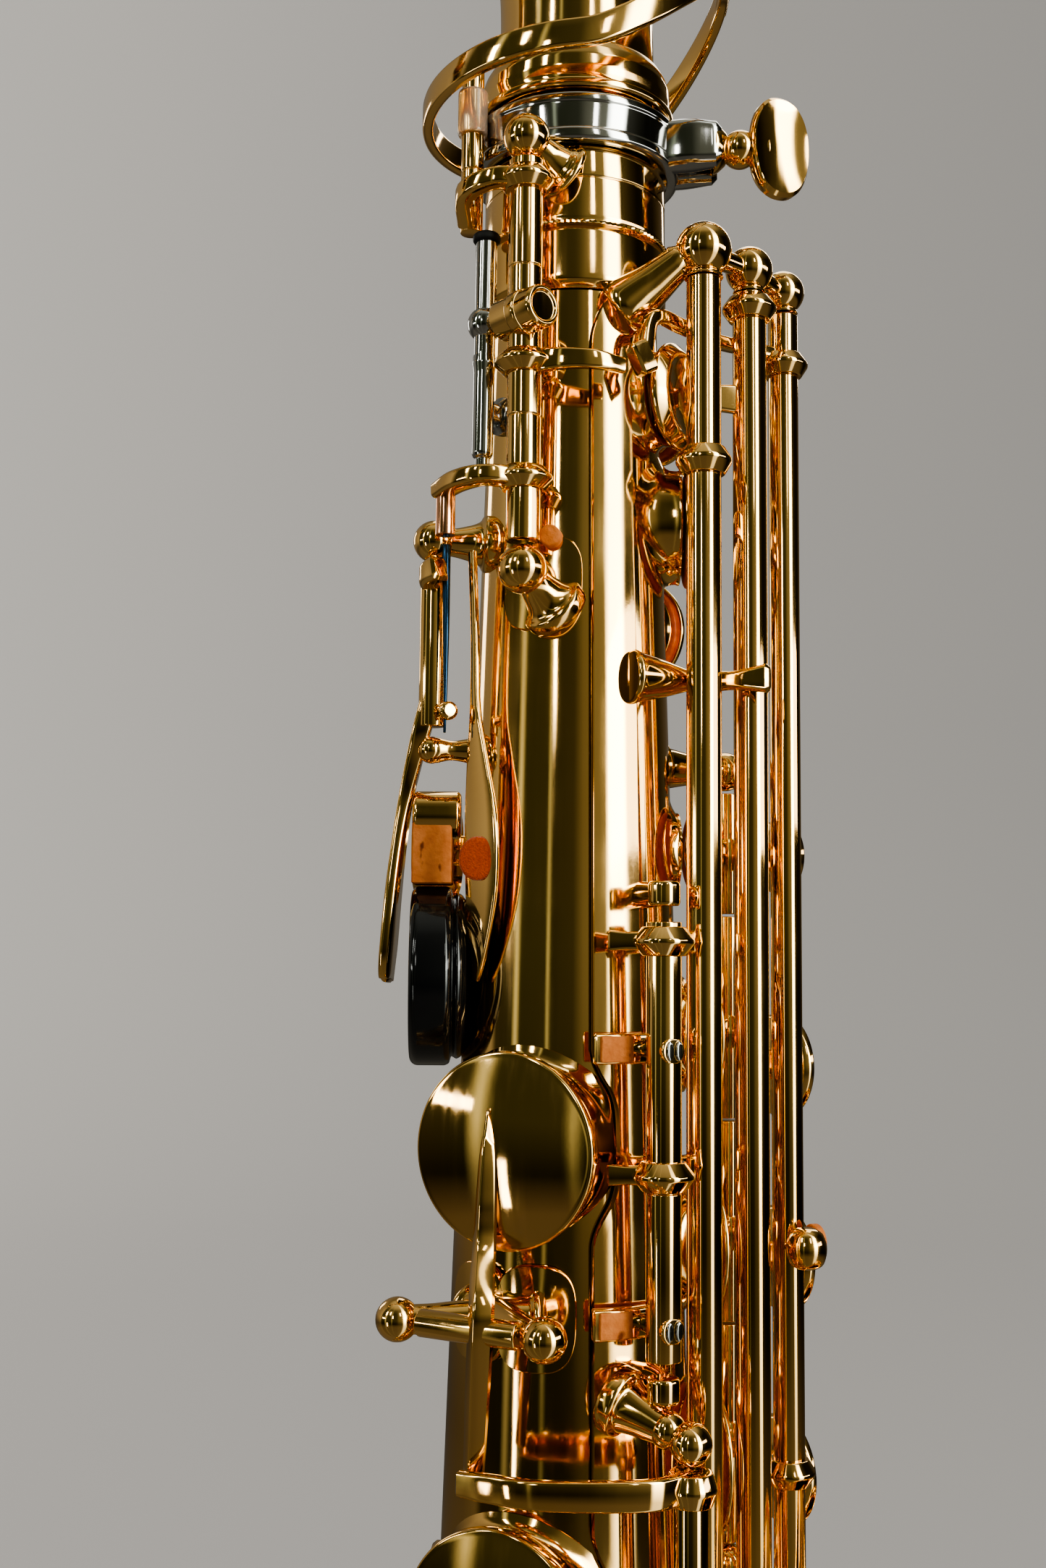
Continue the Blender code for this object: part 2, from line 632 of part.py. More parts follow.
def neck():
    points = neck_points()
    outer = neck_radii()
    frame = Matrix.Translation((0.0, AXIS_Y, 0.0))
    solid = turned([(11.9, 190.5), (11.9, 215.9), (15.2, 216.2), (15.2, 219.4), (13.3, 220.4), (13.3, 224.4)], frame,
                   24)
    inner = [r - 1.1 for r in outer]
    inner_path = [points[0] - Vector((0.0, 0.0, 2.0))] + points[1:-1]
    inner_path.append(points[-1] + (points[-1] - points[-2]).normalized() * 2.0)
    tube = bent_tube(points, outer, None, 14)
    hollow = bent_tube(inner_path, inner, None, 14)
    bore = turned([(10.4, 186.0), (10.4, 223.0)], frame, 24)
    mounts = [rod(points[6] + Vector((-7.5, 0.0, 6.0)), points[6] + Vector((-7.5, 1.5, 11.5)), 2.2, 8, 1.6),
              ball(points[6] + Vector((-7.5, 1.5, 12.5)), 2.4),
              rod(points[6] + Vector((7.5, 0.0, 6.0)), points[6] + Vector((7.5, 1.5, 11.5)), 2.2, 8, 1.6),
              ball(points[6] + Vector((7.5, 1.5, 12.5)), 2.4)]
    node("neck_tube", BRASS, [solid, tube] + mounts, [bore, hollow], pivot=Vector((0.0, AXIS_Y, 210.0)))


def neck_end():
    points = neck_points()
    ahead = (points[-1] - points[-2]).normalized()
    return points[-1], ahead


def neck_cork():
    end, ahead = neck_end()
    frame = aim(end - ahead * 22.0, ahead)
    node("neck_cork", CORK, [turned([(7.05, 0.0), (7.9, 0.6), (7.9, 21.4), (7.3, 22.0), (7.05, 22.0)], frame, 16,
                                    ring=True)], pivot=Vector((0.0, AXIS_Y, 210.0)))


def mouthpiece():
    end, ahead = neck_end()
    frame = aim(end - ahead * 13.0, ahead)
    body = turned([(12.0, 0.0), (12.6, 0.8), (12.6, 8.0), (11.6, 9.0), (11.3, 36.0), (10.4, 60.0), (6.0, 88.0)],
                  frame, 20)
    start = frame @ Vector((0.0, 0.0, 47.0))
    up = frame.to_3x3() @ Vector((1.0, 0.0, 0.0))
    side = frame.to_3x3() @ Vector((0.0, 1.0, 0.0))
    beak = loft_bar([
        [start + up * 10.0 - side * 20.0, start + up * 10.0 + side * 20.0, start + up * 30.0 + side * 20.0,
         start + up * 30.0 - side * 20.0],
        [start + ahead * 50.0 - up * 4.4 - side * 20.0, start + ahead * 50.0 - up * 4.4 + side * 20.0,
         start + ahead * 50.0 + up * 30.0 + side * 20.0, start + ahead * 50.0 + up * 30.0 - side * 20.0]])
    table_start = frame @ Vector((-27.6, 0.0, 38.0))
    table = loft_bar([
        [table_start - side * 20.0, table_start + side * 20.0, table_start + up * 19.0 + side * 20.0,
         table_start + up * 19.0 - side * 20.0],
        [table_start + ahead * 60.0 - side * 20.0, table_start + ahead * 60.0 + side * 20.0,
         table_start + ahead * 60.0 + up * 21.6 + side * 20.0, table_start + ahead * 60.0 + up * 21.6 - side * 20.0]])
    socket = turned([(8.15, -4.0), (8.15, 32.0)], frame, 16)
    chamber = strip([frame @ Vector((-4.6, 0.0, 30.0)), frame @ Vector((-6.2, 0.0, 76.0))], 5.6, 9.0, up)
    node("mouthpiece", BLACK, [body], [beak, table, socket, chamber], pivot=Vector(end))
    reed_at = frame @ Vector((-9.9, 0.0, 41.0))
    reed = loft_bar([
        [reed_at - side * 5.6 - up * 0.7, reed_at + side * 5.6 - up * 0.7, reed_at + side * 5.6 + up * 0.9,
         reed_at - side * 5.6 + up * 0.9],
        [reed_at + ahead * 20.0 - side * 5.9 - up * 0.5, reed_at + ahead * 20.0 + side * 5.9 - up * 0.5,
         reed_at + ahead * 20.0 + side * 5.9 + up * 1.6, reed_at + ahead * 20.0 - side * 5.9 + up * 1.6],
        [reed_at + ahead * 45.0 - side * 6.4 + up * 1.6, reed_at + ahead * 45.0 + side * 6.4 + up * 1.6,
         reed_at + ahead * 45.0 + side * 6.4 + up * 2.4, reed_at + ahead * 45.0 - side * 6.4 + up * 2.4]])
    node("reed", CANE, [reed], pivot=Vector(end))


def ligature():
    end, ahead = neck_end()
    frame = aim(end + ahead * 27.0, ahead)
    band = turned([(12.8, 0.0), (13.8, 0.0), (13.6, 18.0), (12.6, 18.0)], frame, 20, ring=True)
    down = frame.to_3x3() @ Vector((-1.0, 0.0, 0.0))
    screws = []
    for run in (4.5, 13.5):
        at = frame @ Vector((0.0, 0.0, run))
        screws.append(rod(at + down * 13.0, at + down * 21.0, 1.8, 8))
        screws.append(rod(at + down * 19.0, at + down * 26.0, 3.4, 10))
    node("ligature", BRASS, [band] + screws, pivot=Vector(end))


def loop_side(start, step):
    """Half of the loop: level at the front and back, lower on the player's side, rising over the bell side."""
    points = []
    for k in range(15):
        angle = start + step * k
        lean = math.sin(math.radians(angle))
        points.append(polar(angle, 22.0, 219.5 - 2.0 * max(0.0, lean) + 18.5 * max(0.0, -lean) ** 1.6))
    return strip(points, 4.0, 1.6, Vector((0.0, 0.0, 1.0)))


def neck_octave_key():
    """Loop round the neck with its arm to the neck's vent."""
    points = neck_points()
    top = points[6] + Vector((0.0, 1.5, 12.5))
    tube = rod(top + Vector((-4.6, 0.0, 0.0)), top + Vector((4.6, 0.0, 0.0)), 2.0, 10)
    bridge = strip([Vector((0.0, AXIS_Y - 22.0, 236.8)), Vector((0.0, AXIS_Y - 22.4, 244.0)),
                    Vector((0.0, AXIS_Y - 20.0, 254.0)), Vector((0.0, AXIS_Y - 9.0, 270.0)),
                    Vector((0.0, AXIS_Y + 12.0, 284.0)), top,
                    points[8] + Vector((0.0, 0.0, 15.0)), points[8] + Vector((0.0, 4.0, 14.0))], 5.0, 1.8,
                   Vector((1.0, 0.0, 0.0)))
    pad_at = points[8] + Vector((0.0, 2.0, 11.8))
    pad = rod(pad_at, pad_at + Vector((0.0, 0.0, 3.4)), 3.6, 12)
    loop = [loop_side(275.0, -13.6), loop_side(265.0, 13.6)]
    node("neck_octave_key", BRASS, loop + [bridge, tube, pad], pivot=top)


# ---------------------------------------------------------------- octave work
def octave_rocker():
    a, r = OCTAVE_ROD
    adds = [upright(a, r, 203.2, 149.8, 2.4, 10)]
    for z in (200.6, 174.6, 158.4):
        adds.append(turned([(4.2, -1.4), (4.2, 1.4)], Matrix.Translation(polar(a, r, z)), 8))
    up = Vector((0.0, 0.0, 1.0))
    adds.append(strip([polar(157.0, 18.5, 200.6), polar(145.0, 19.6, 200.2), polar(130.0, 19.0, 199.4),
                       polar(119.0, 17.4, 198.6)], 3.4, 1.8, up))
    adds.append(upright(119.0, 17.2, 223.0, 196.8, 1.6, 10))
    adds.append(strip([polar(157.0, 18.5, 174.6), polar(180.0, 19.4, 174.4), polar(199.0, 19.0, 174.0)], 3.4, 1.8,
                      up))
    adds.append(strip([polar(157.0, 18.5, 158.4), polar(140.0, 20.4, 158.2), polar(124.0, 22.4, 158.0)], 3.4, 1.8,
                      up))
    adds.append(rod(polar(162.0, 19.6, 180.5), polar(176.0, 20.0, 181.5), 2.6, 10))
    adds.append(upright(126.0, 22.2, 158.0, 151.5, 1.3, 8))
    node("octave_rocker", BRASS, adds, pivot=polar(a, r, 176.0))


def octave_thumb_lever():
    a, r = THUMB_ROD
    adds = [upright(a, r, 149.0, 125.8, 1.9, 10)]
    up = Vector((0.0, 0.0, 1.0))
    adds.append(strip([polar(a, r, 146.5), polar(113.0, 21.6, 147.0), polar(118.0, 21.4, 147.5)], 4.0, 2.6, up))
    sections = []
    for angle, radius, z, half, thick in ((a, r, 134.0, 1.5, 1.2), (99.0, 25.4, 127.0, 2.0, 0.9),
                                          (92.0, 26.0, 112.0, 4.0, 0.8), (86.0, 26.8, 90.5, 7.0, 0.7)):
        centre = polar(angle, radius, z)
        side = sideways(90.0) * half
        out = outward(angle) * thick
        sections.append([centre - side - out, centre + side - out, centre + side + out, centre - side + out])
    adds.append(loft_bar(sections))
    node("octave_thumb_lever", BRASS, adds, pivot=polar(a, r, 137.0))


def body_octave_key():
    top = polar(137.0, 18.6, 194.5)
    low = polar(137.0, 19.0, 163.0)
    adds = [rod(low, top, 1.5, 8), ball(low.lerp(top, 0.55), 2.4)]
    adds.append(strip([polar(137.0, 19.2, 169.0), polar(137.0, 14.9, 169.0)], 2.2, 2.6, sideways(137.0)))
    adds.append(rod(polar(137.0, 13.6, 169.0), polar(137.0, 16.2, 169.0), 2.7, 10))
    node("body_octave_key", STEEL, adds, pivot=low)


# ---------------------------------------------------------------- right-hand long keys
def collar(place_at, size):
    return turned([(size * 1.5, -1.4), (size * 1.5, 1.4)], Matrix.Translation(place_at), 8)


def high_e_key():
    a, r, top, bottom, thick = ROD_E
    adds = [upright(a, r, top, bottom, thick, 8), collar(polar(a, r, 162.0), thick)]
    adds.append(cup(268.0, 156.0, 9.6, 16.0, 3.6))
    adds.append(arm_to_cup(ROD_E, 268.0, 156.0, 16.0, 3.6))
    up = Vector((0.0, 0.0, 1.0))
    adds.append(strip([polar(a, r, -6.0), polar(222.0, 31.5, -6.0), polar(206.0, 34.4, -6.0),
                       polar(186.0, 34.6, -7.0)], 5.0, 1.8, up))
    adds.append(paddle(184.0, 34.6, -9.0, 11.0, 19.0))
    node("high_e_key", BRASS, adds, pivot=place(ROD_E, 90.0))


def high_fs_key():
    a, r, top, bottom, thick = ROD_FS
    adds = [upright(a, r, top, bottom, thick, 8), collar(polar(a, r, 186.0), thick)]
    adds.append(cup(240.0, 173.0, 7.6, 15.2, 3.0))
    adds.append(strip([polar(a, r, 173.0), polar(248.0, 21.8, 173.0), polar(240.0, 18.0, 173.0)], 4.4, 1.4,
                      Vector((0.0, 0.0, 1.0))))
    adds.append(strip([polar(a, r, -33.0), polar(246.0, 34.0, -33.0), polar(238.0, 37.0, -34.0)], 5.0, 1.8,
                      Vector((0.0, 0.0, 1.0))))
    adds.append(paddle(236.0, 37.4, -35.0, 8.0, 14.0))
    node("high_fs_key", BRASS, adds, pivot=place(ROD_FS, 70.0))


def g_link_key():
    a, r, top, bottom, thick = ROD_G
    adds = [upright(a, r, top, bottom, thick, 8), collar(polar(a, r, 181.0), thick)]
    up = Vector((0.0, 0.0, 1.0))
    adds.append(strip([polar(a, r, 182.6), polar(266.0, 25.5, 182.6), polar(257.0, 21.2, 182.5),
                       polar(245.0, 19.4, 182.4), polar(231.0, 18.5, 182.3), polar(219.0, 18.7, 182.3), polar(212.0, 18.9, 181.0),
                       polar(209.5, 19.0, 176.5)], 1.7, 1.8, up))
    adds.append(strip([polar(210.0, 19.2, 176.0), polar(204.5, 19.3, 175.0)], 4.6, 2.6, up))
    adds.append(collar(polar(a, r, 23.0), thick))
    adds.append(ball(polar(264.0, 33.0, 54.0), 2.8, 8, 4))
    node("g_link_key", BRASS, adds, pivot=place(ROD_G, 90.0))


def bridge_key():
    """Bar with the two adjusting screws over its cork-lined feet."""
    a, r = 209.0, 24.0
    adds = [upright(a, r, 98.5, 43.0, 2.3, 8)]
    up = Vector((0.0, 0.0, 1.0))
    for z in (96.0, 66.0):
        adds.append(collar(polar(a, r, z), 2.3))
        adds.append(strip([polar(a, r, z), polar(222.0, 18.9, z), polar(240.0, 18.9, z), polar(256.0, 20.4, z)], 3.0,
                          1.4, up))
    for z in (82.0, 47.0):
        adds.append(strip([polar(188.0, 20.0, z), polar(200.0, 19.7, z), polar(222.0, 19.0, z)], 4.0, 1.5, up))
        adds.append(rod(polar(a, 19.6, z), polar(a, 27.4, z), 1.3, 8))
    node("bridge_key", BRASS, adds, pivot=polar(a, r, 70.0))


def bridge_posts():
    """Two posts on the rib line for the adjusting-screw bar."""
    for name, z in (("bridge_post_top", 102.2), ("bridge_post_low", 39.4)):
        end = polar(209.0, 24.0, z)
        start = polar(216.5, tube_radius(z) + GAP + 0.2, z)
        cut = curved_plate(188.0, 214.8, z + 9.0, z - 9.0, -1.0, 2.9)
        node(name, BRASS, [rod(start, end, 2.6, 8, 1.7), ball(end, 2.9)], [cut])


# ---------------------------------------------------------------- upper stack
def upper_stack():
    keys = (
        ("c_vent_key", 118.2, 100.3, 109.0, 6.6, 109.0, 5.5, 7.0),
        ("b_key", 99.9, 70.4, 83.0, 9.4, 78.0, 7.5, 7.0),
        ("a_key", 70.0, 41.4, 54.0, 9.8, 50.0, 7.5, 6.0),
        ("g_key", 41.0, 10.6, 25.0, 10.4, 20.0, 7.5, 5.0),
    )
    tops = {z: top for _, _, z, _, top in TONE_HOLES}
    for name, top, bottom, z, size, touch_z, touch_r, opening in keys:
        seat = tops[z] + GAP
        a, r = STACK_TOP_ROD
        adds = [upright(a, r, top, bottom, 2.1, 8)]
        adds.append(cup(273.0, z, size, seat, 2.2, 14))
        adds.append(arm_to_cup(STACK_TOP_ROD, 273.0, z, seat, 2.2, 4.0))
        adds.append(strip([polar(a, r, touch_z), polar(292.0, 32.6, touch_z)], 4.4, 1.8, Vector((0.0, 0.0, 1.0))))
        adds.append(pearl(290.0, 33.5, touch_z, touch_r))
        node(name, BRASS, adds, pivot=place(STACK_TOP_ROD, z), turn=opening)


def lower_stack():
    keys = (
        ("fs_vent_key", -44.6, -73.0, -58.0, 11.4, None),
        ("f_key", -73.5, -101.2, -88.0, 12.6, -84.0),
        ("e_key", -108.8, -137.5, -121.0, 13.4, -114.0),
        ("d_key", -138.0, -174.2, -156.0, 14.0, -146.0),
    )
    tops = {z: top for _, _, z, _, top in TONE_HOLES}
    a, r = STACK_LOW_ROD
    for name, top, bottom, z, size, touch_z in keys:
        seat = tops[z] + GAP
        adds = [upright(a, r, top, bottom, 2.2, 8)]
        adds.append(cup(262.0, z, size, seat, 3.4))
        adds.append(arm_to_cup(STACK_LOW_ROD, 262.0, z, seat, 3.4, 5.0))
        if touch_z is not None:
            adds.append(strip([polar(a, r, touch_z), polar(238.0, 38.5, touch_z)], 5.0, 1.8, Vector((0.0, 0.0, 1.0))))
            adds.append(pearl(241.0, 39.6, touch_z, 8.5))
        node(name, BRASS, adds, pivot=place(STACK_LOW_ROD, z), turn=-6.0)


# ---------------------------------------------------------------- side keys
def side_cup(name, cup_z, hinge_z, foot_z, seat):
    centre = polar(150.0, 26.1, hinge_z)
    along = sideways(150.0)
    adds = [rod(centre - along * 6.9, centre + along * 6.9, 1.7, 8)]
    adds.append(cup(154.0, cup_z, 12.8, seat, 3.6, 20))
    out = outward(150.0)
    sections = []
    for point, half, lift in (
            (polar(154.0, seat + 3.3, cup_z + 3.0), 2.0, 0.8), (polar(152.0, seat + 3.6, cup_z - 8.0), 2.6, 0.8),
            (polar(150.0, 26.0, hinge_z), 5.5, 1.2), (polar(150.0, 24.7, foot_z), 2.0, 0.8)):
        sections.append([point - along * half - out * lift, point + along * half - out * lift,
                         point + along * half + out * lift, point - along * half + out * lift])
    adds.append(loft_bar(sections))
    node(name, BRASS, adds, pivot=centre)


def side_lever(name, place_at, top, bottom, arm_z, touch_z):
    a, r = place_at
    up = Vector((0.0, 0.0, 1.0))
    adds = [upright(a, r, top, bottom, 2.2, 8)]
    adds.append(strip([polar(a, r, arm_z), polar(a - 14.0, 28.9, arm_z), polar(172.0, 28.0, arm_z),
                       polar(158.0, 27.3, arm_z), polar(149.0, 27.2, arm_z)], 3.8, 1.5, up))
    adds.append(strip([polar(a, r, touch_z), polar(a - 6.0, 34.0, touch_z), polar(184.0, 35.4, touch_z)], 5.0, 1.8, up))
    adds.append(paddle(181.0, 35.6, touch_z, 11.0, 17.0))
    node(name, BRASS, adds, pivot=place(place_at, arm_z))


def side_lever_posts():
    """Posts beside the rib for the two side lever rods."""
    for name, angle, radius, z in (("side_c_post_top", 212.0, 28.0, 33.6), ("side_c_post_low", 212.0, 28.0, -49.0)):
        end = polar(angle, radius, z)
        start = polar(218.5, tube_radius(z) + GAP + 0.2, z)
        cut = curved_plate(188.0, 214.8, z + 9.0, z - 9.0, -1.0, 2.9)
        node(name, BRASS, [rod(start, end, 3.0, 8, 1.8), ball(end, 2.9)], [cut])


# ---------------------------------------------------------------- left side keys
def palm_keys():
    keys = (
        ("palm_f_key", 330.0, 21.5, 180.8, 163.2, 302.0, 176.0, 7.8, 15.4, 352.0, 26.5, 169.5, 9.0),
        ("palm_eb_key", 358.0, 21.8, 152.8, 134.8, 325.0, 143.0, 8.6, 16.2, 18.0, 27.0, 145.0, 9.5),
        ("palm_d_key", 25.0, 22.8, 128.8, 106.2, 352.0, 114.0, 9.4, 17.2, 46.0, 28.0, 110.0, 10.0),
    )
    up = Vector((0.0, 0.0, 1.0))
    for name, a, r, top, bottom, cup_a, cup_z, size, seat, touch_a, touch_r, touch_z, wide in keys:
        adds = [upright(a, r, top, bottom, 2.0, 8)]
        adds.append(cup(cup_a, cup_z, size, seat, 3.2))
        adds.append(arm_to_cup((a, r), cup_a, cup_z, seat, 3.2, 4.0))
        adds.append(strip([polar(a, r, touch_z), polar((a * 0.5 + touch_a * 0.5) if a < 300 else (a + touch_a) / 2.0,
                                                       touch_r - 1.2, touch_z) if abs(a - touch_a) < 180 else
                           polar((a - 360.0 + touch_a) / 2.0, touch_r - 1.2, touch_z),
                           polar(touch_a, touch_r, touch_z)], 4.6, 1.6, up))
        adds.append(paddle(touch_a, touch_r, touch_z, wide, 18.0))
        node(name, BRASS, adds, pivot=polar(a, r, cup_z))


def pinky_keys():
    up = Vector((0.0, 0.0, 1.0))
    gs = (318.0, 28.0)
    adds = [upright(gs[0], gs[1], -4.4, -31.6, 2.0, 8), cup(286.0, -19.0, 9.4, 20.0, 2.8)]
    adds.append(arm_to_cup(gs, 286.0, -19.0, 20.0, 2.8, 4.4))
    adds.append(strip([polar(318.0, 28.0, -14.0), polar(314.0, 37.0, -14.0)], 4.6, 1.8, up))
    adds.append(paddle(311.0, 37.6, -14.0, 9.0, 15.0))
    node("g_sharp_key", BRASS, adds, pivot=place(gs, -19.0))

    for name, a, top, bottom, cup_z, face_x, size, touch_z, touch_h in (
            ("low_bb_key", 320.0, -40.5, -112.6, -96.0, 43.0 + GAP, 17.6, -50.0, 15.0),
            ("low_b_key", 333.0, -12.0, -172.6, -152.0, 41.0 + GAP, 17.6, -24.0, 16.0)):
        rod_at = polar(a, 31.0, cup_z)
        seat = Vector((face_x, BELL_Y, cup_z))
        disc = turned([(size - 0.8, 0.0), (size, 1.0), (size, 2.4), (size * 0.7, 4.0), (size * 0.25, 4.4)],
                      aim(seat, Vector((1.0, 0.0, 0.0))), 20)
        crown = seat + Vector((3.8, 0.0, 0.0))
        bend = Vector((crown.x + 3.0, BELL_Y + size + 12.0, cup_z))
        adds = [upright(a, 31.0, top, bottom, 2.2, 8), disc]
        adds.append(strip([rod_at, bend, crown, crown + Vector((0.0, -3.0, 0.0))], 6.0, 2.2, up))
        adds.append(strip([polar(a, 31.0, touch_z), polar(a, 38.0, touch_z)], 5.0, 1.8, up))
        adds.append(paddle(a, 38.4, touch_z, 8.0, touch_h))
        node(name, BRASS, adds, pivot=polar(a, 31.0, cup_z), turn=3.5)

    a = 347.0
    seat = Vector((31.9, AXIS_Y - 60.0, -309.0))
    disc = turned([(14.2, 0.0), (15.2, 1.0), (15.2, 2.4), (11.0, 4.0), (4.0, 4.4)], aim(seat, Vector((1.0, 0.0, 0.0))),
                  20)
    crown = seat + Vector((3.8, 0.0, 0.0))
    adds = [upright(a, 31.0, -12.0, -232.6, 2.2, 8), disc]
    adds.append(strip([polar(a, 31.0, -226.0), Vector((41.0, AXIS_Y - 6.0, -232.0)),
                       Vector((43.0, AXIS_Y - 24.0, -268.0)), Vector((39.0, AXIS_Y - 46.0, -300.0)), crown,
                       crown + Vector((0.0, -3.0, -1.5))], 6.0, 2.2, Vector((0.0, 0.5, 1.0))))
    adds.append(strip([polar(a, 31.0, -24.0), polar(a, 38.0, -24.0)], 5.0, 1.8, up))
    adds.append(paddle(a, 38.4, -24.0, 8.0, 16.0))
    node("low_cs_key", BRASS, adds, pivot=polar(a, 31.0, -226.0))


def right_pinky_keys():
    up = Vector((0.0, 0.0, 1.0))
    rod_at = (192.0, 35.0)
    adds = [upright(192.0, 35.0, -186.4, -207.0, 2.2, 8), cup(222.0, -206.0, 14.0, 27.0, 3.6, 18)]
    adds.append(strip([polar(192.0, 35.0, -203.0), polar(206.0, 34.0, -204.0), polar(222.0, 30.2, -206.0),
                       polar(226.0, 30.0, -206.4)], 5.0, 1.8, up))
    adds.append(strip([polar(192.0, 35.0, -190.5), polar(178.0, 40.0, -190.5)], 5.0, 1.8, up))
    adds.append(paddle(174.0, 40.8, -190.5, 12.0, 11.0, 3.0))
    node("low_eb_key", BRASS, adds, pivot=place(rod_at, -200.0))

    seat = Vector((-31.5 - GAP, AXIS_Y - 38.0, -309.0))
    disc = turned([(14.2, 0.0), (15.2, 1.0), (15.2, 2.4), (11.0, 4.0), (4.0, 4.4)], aim(seat, Vector((-1.0, 0.0, 0.0))),
                  20)
    crown = seat + Vector((-3.8, 0.0, 0.0))
    adds = [upright(192.0, 35.0, -207.6, -228.6, 2.2, 8), disc]
    adds.append(strip([polar(192.0, 35.0, -224.0), Vector((-41.0, AXIS_Y - 12.0, -236.0)),
                       Vector((-42.0, AXIS_Y - 24.0, -270.0)), Vector((-40.0, AXIS_Y - 33.0, -296.0)), crown,
                       crown + Vector((0.0, -2.0, -2.5))], 6.0, 2.2, Vector((0.0, 0.6, 1.0))))
    adds.append(strip([polar(192.0, 35.0, -211.0), polar(178.0, 40.0, -209.0)], 5.0, 1.8, up))
    adds.append(paddle(174.0, 40.8, -208.0, 12.0, 13.0, 3.0))
    node("low_c_key", BRASS, adds, pivot=place(rod_at, -220.0), turn=-5.0)


def low_guards():
    """Wire guard over the low B and low B flat cups."""
    x = 58.0
    top = Vector((bell_radius(-72.0) + 0.5, BELL_Y - 4.0, -72.0))
    low = Vector((bell_radius(-178.0) + 0.5, BELL_Y - 4.0, -178.0))
    rail = strip([Vector((top.x - 8.0, BELL_Y - 4.0, -72.0)), Vector((x, BELL_Y - 4.0, -76.0)),
                  Vector((x, BELL_Y - 4.0, -124.0)), Vector((x - 1.0, BELL_Y - 4.0, -172.0)),
                  Vector((low.x - 8.0, BELL_Y - 4.0, -177.0))], 5.0, 2.4, Vector((0.0, 1.0, 0.0)))
    profile = [(bell_radius(z) + 0.6, z) for z in (-200.0, -177.0, -150.0, -120.0, -96.0, -80.0, -72.0, -62.0, -54.0)]
    cut = turned(profile, Matrix.Translation((0.0, BELL_Y, 0.0)), 36)
    node("bell_key_guard", BRASS, [rail], [cut])


# ---------------------------------------------------------------- build
def clear_scene():
    for old in list(bpy.data.objects):
        bpy.data.objects.remove(old)


def build():
    clear_scene()
    body_tube()
    bow()
    bell()
    ring_band("body_bow_ring", AXIS_Y, TUBE_BOTTOM, tube_radius(TUBE_BOTTOM) + 1.1, 12.0)
    ring_band("bell_bow_ring", BELL_Y, TUBE_BOTTOM, max(bell_radius(TUBE_BOTTOM), 31.2) + 0.9, 12.0)
    bell_brace()
    neck_receiver()
    receiver_clamp()
    receiver_screw()
    strap_ring()
    thumb_rest()
    thumb_hook()
    right_rib()
    rods_mid_post()
    side_posts("side_c_hinge_posts", 47.0)
    side_posts("side_bb_hinge_posts", -12.7)
    bridge_posts()
    side_lever_posts()
    neck()
    neck_cork()
    mouthpiece()
    ligature()
    neck_octave_key()
    octave_rocker()
    octave_thumb_lever()
    body_octave_key()
    high_e_key()
    high_fs_key()
    g_link_key()
    bridge_key()
    upper_stack()
    lower_stack()
    side_cup("side_c_cup", 68.7, 47.0, 29.0, 18.0 + GAP)
    side_cup("side_bb_cup", 9.0, -12.7, -30.7, 19.5 + GAP)
    side_lever("side_c_lever", (212.0, 28.0), 30.3, -45.6, 28.5, -34.0)
    side_lever("side_bb_lever", (196.0, 27.5), -27.2, -102.6, -31.0, -64.0)
    palm_keys()
    pinky_keys()
    right_pinky_keys()
    low_guards()


build()
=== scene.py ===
"""Looks of an alto saxophone: fine meshes, materials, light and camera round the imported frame.

Lengths are in millimetres and become metres when a piece is made.
Positions about the body tube are polar: an angle, a radius and a height.
+Y is the player's side, -Y is the bell side and -X is the player's right.
"""
import math

import bmesh
import bpy
import numpy as np
from mathutils import Matrix, Vector


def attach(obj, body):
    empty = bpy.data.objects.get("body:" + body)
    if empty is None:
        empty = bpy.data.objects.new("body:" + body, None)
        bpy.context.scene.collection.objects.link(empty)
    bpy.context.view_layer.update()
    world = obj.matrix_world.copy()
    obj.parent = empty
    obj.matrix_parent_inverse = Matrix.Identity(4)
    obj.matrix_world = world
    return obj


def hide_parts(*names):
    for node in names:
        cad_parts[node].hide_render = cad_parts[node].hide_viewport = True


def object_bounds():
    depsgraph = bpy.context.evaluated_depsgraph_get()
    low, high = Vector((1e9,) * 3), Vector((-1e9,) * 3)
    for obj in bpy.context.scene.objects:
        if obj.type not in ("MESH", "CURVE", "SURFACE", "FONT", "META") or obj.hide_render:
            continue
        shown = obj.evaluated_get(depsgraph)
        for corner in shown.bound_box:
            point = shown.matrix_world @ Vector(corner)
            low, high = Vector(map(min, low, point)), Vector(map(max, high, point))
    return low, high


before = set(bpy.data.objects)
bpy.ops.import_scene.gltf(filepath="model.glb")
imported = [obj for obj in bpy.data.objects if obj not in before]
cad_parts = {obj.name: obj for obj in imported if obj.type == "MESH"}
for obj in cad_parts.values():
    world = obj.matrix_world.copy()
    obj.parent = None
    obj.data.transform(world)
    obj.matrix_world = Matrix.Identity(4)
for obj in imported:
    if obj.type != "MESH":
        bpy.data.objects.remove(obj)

CAD_LOW, CAD_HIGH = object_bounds()

# ---------------------------------------------------------------- dimensions, as in the part's source
MM = 0.001
AXIS_Y = -27
TUBE_TOP = 187.2
TUBE_BOTTOM = -245
TUBE_TOP_R = 12.06
TUBE_TAPER = 0.0295
BELL_OFFSET = 98
BELL_Y = AXIS_Y - BELL_OFFSET
BOW_Z = -262
BELL_RIM_Z = -25
BELL_RIM_R = 61
GAP = 0.35

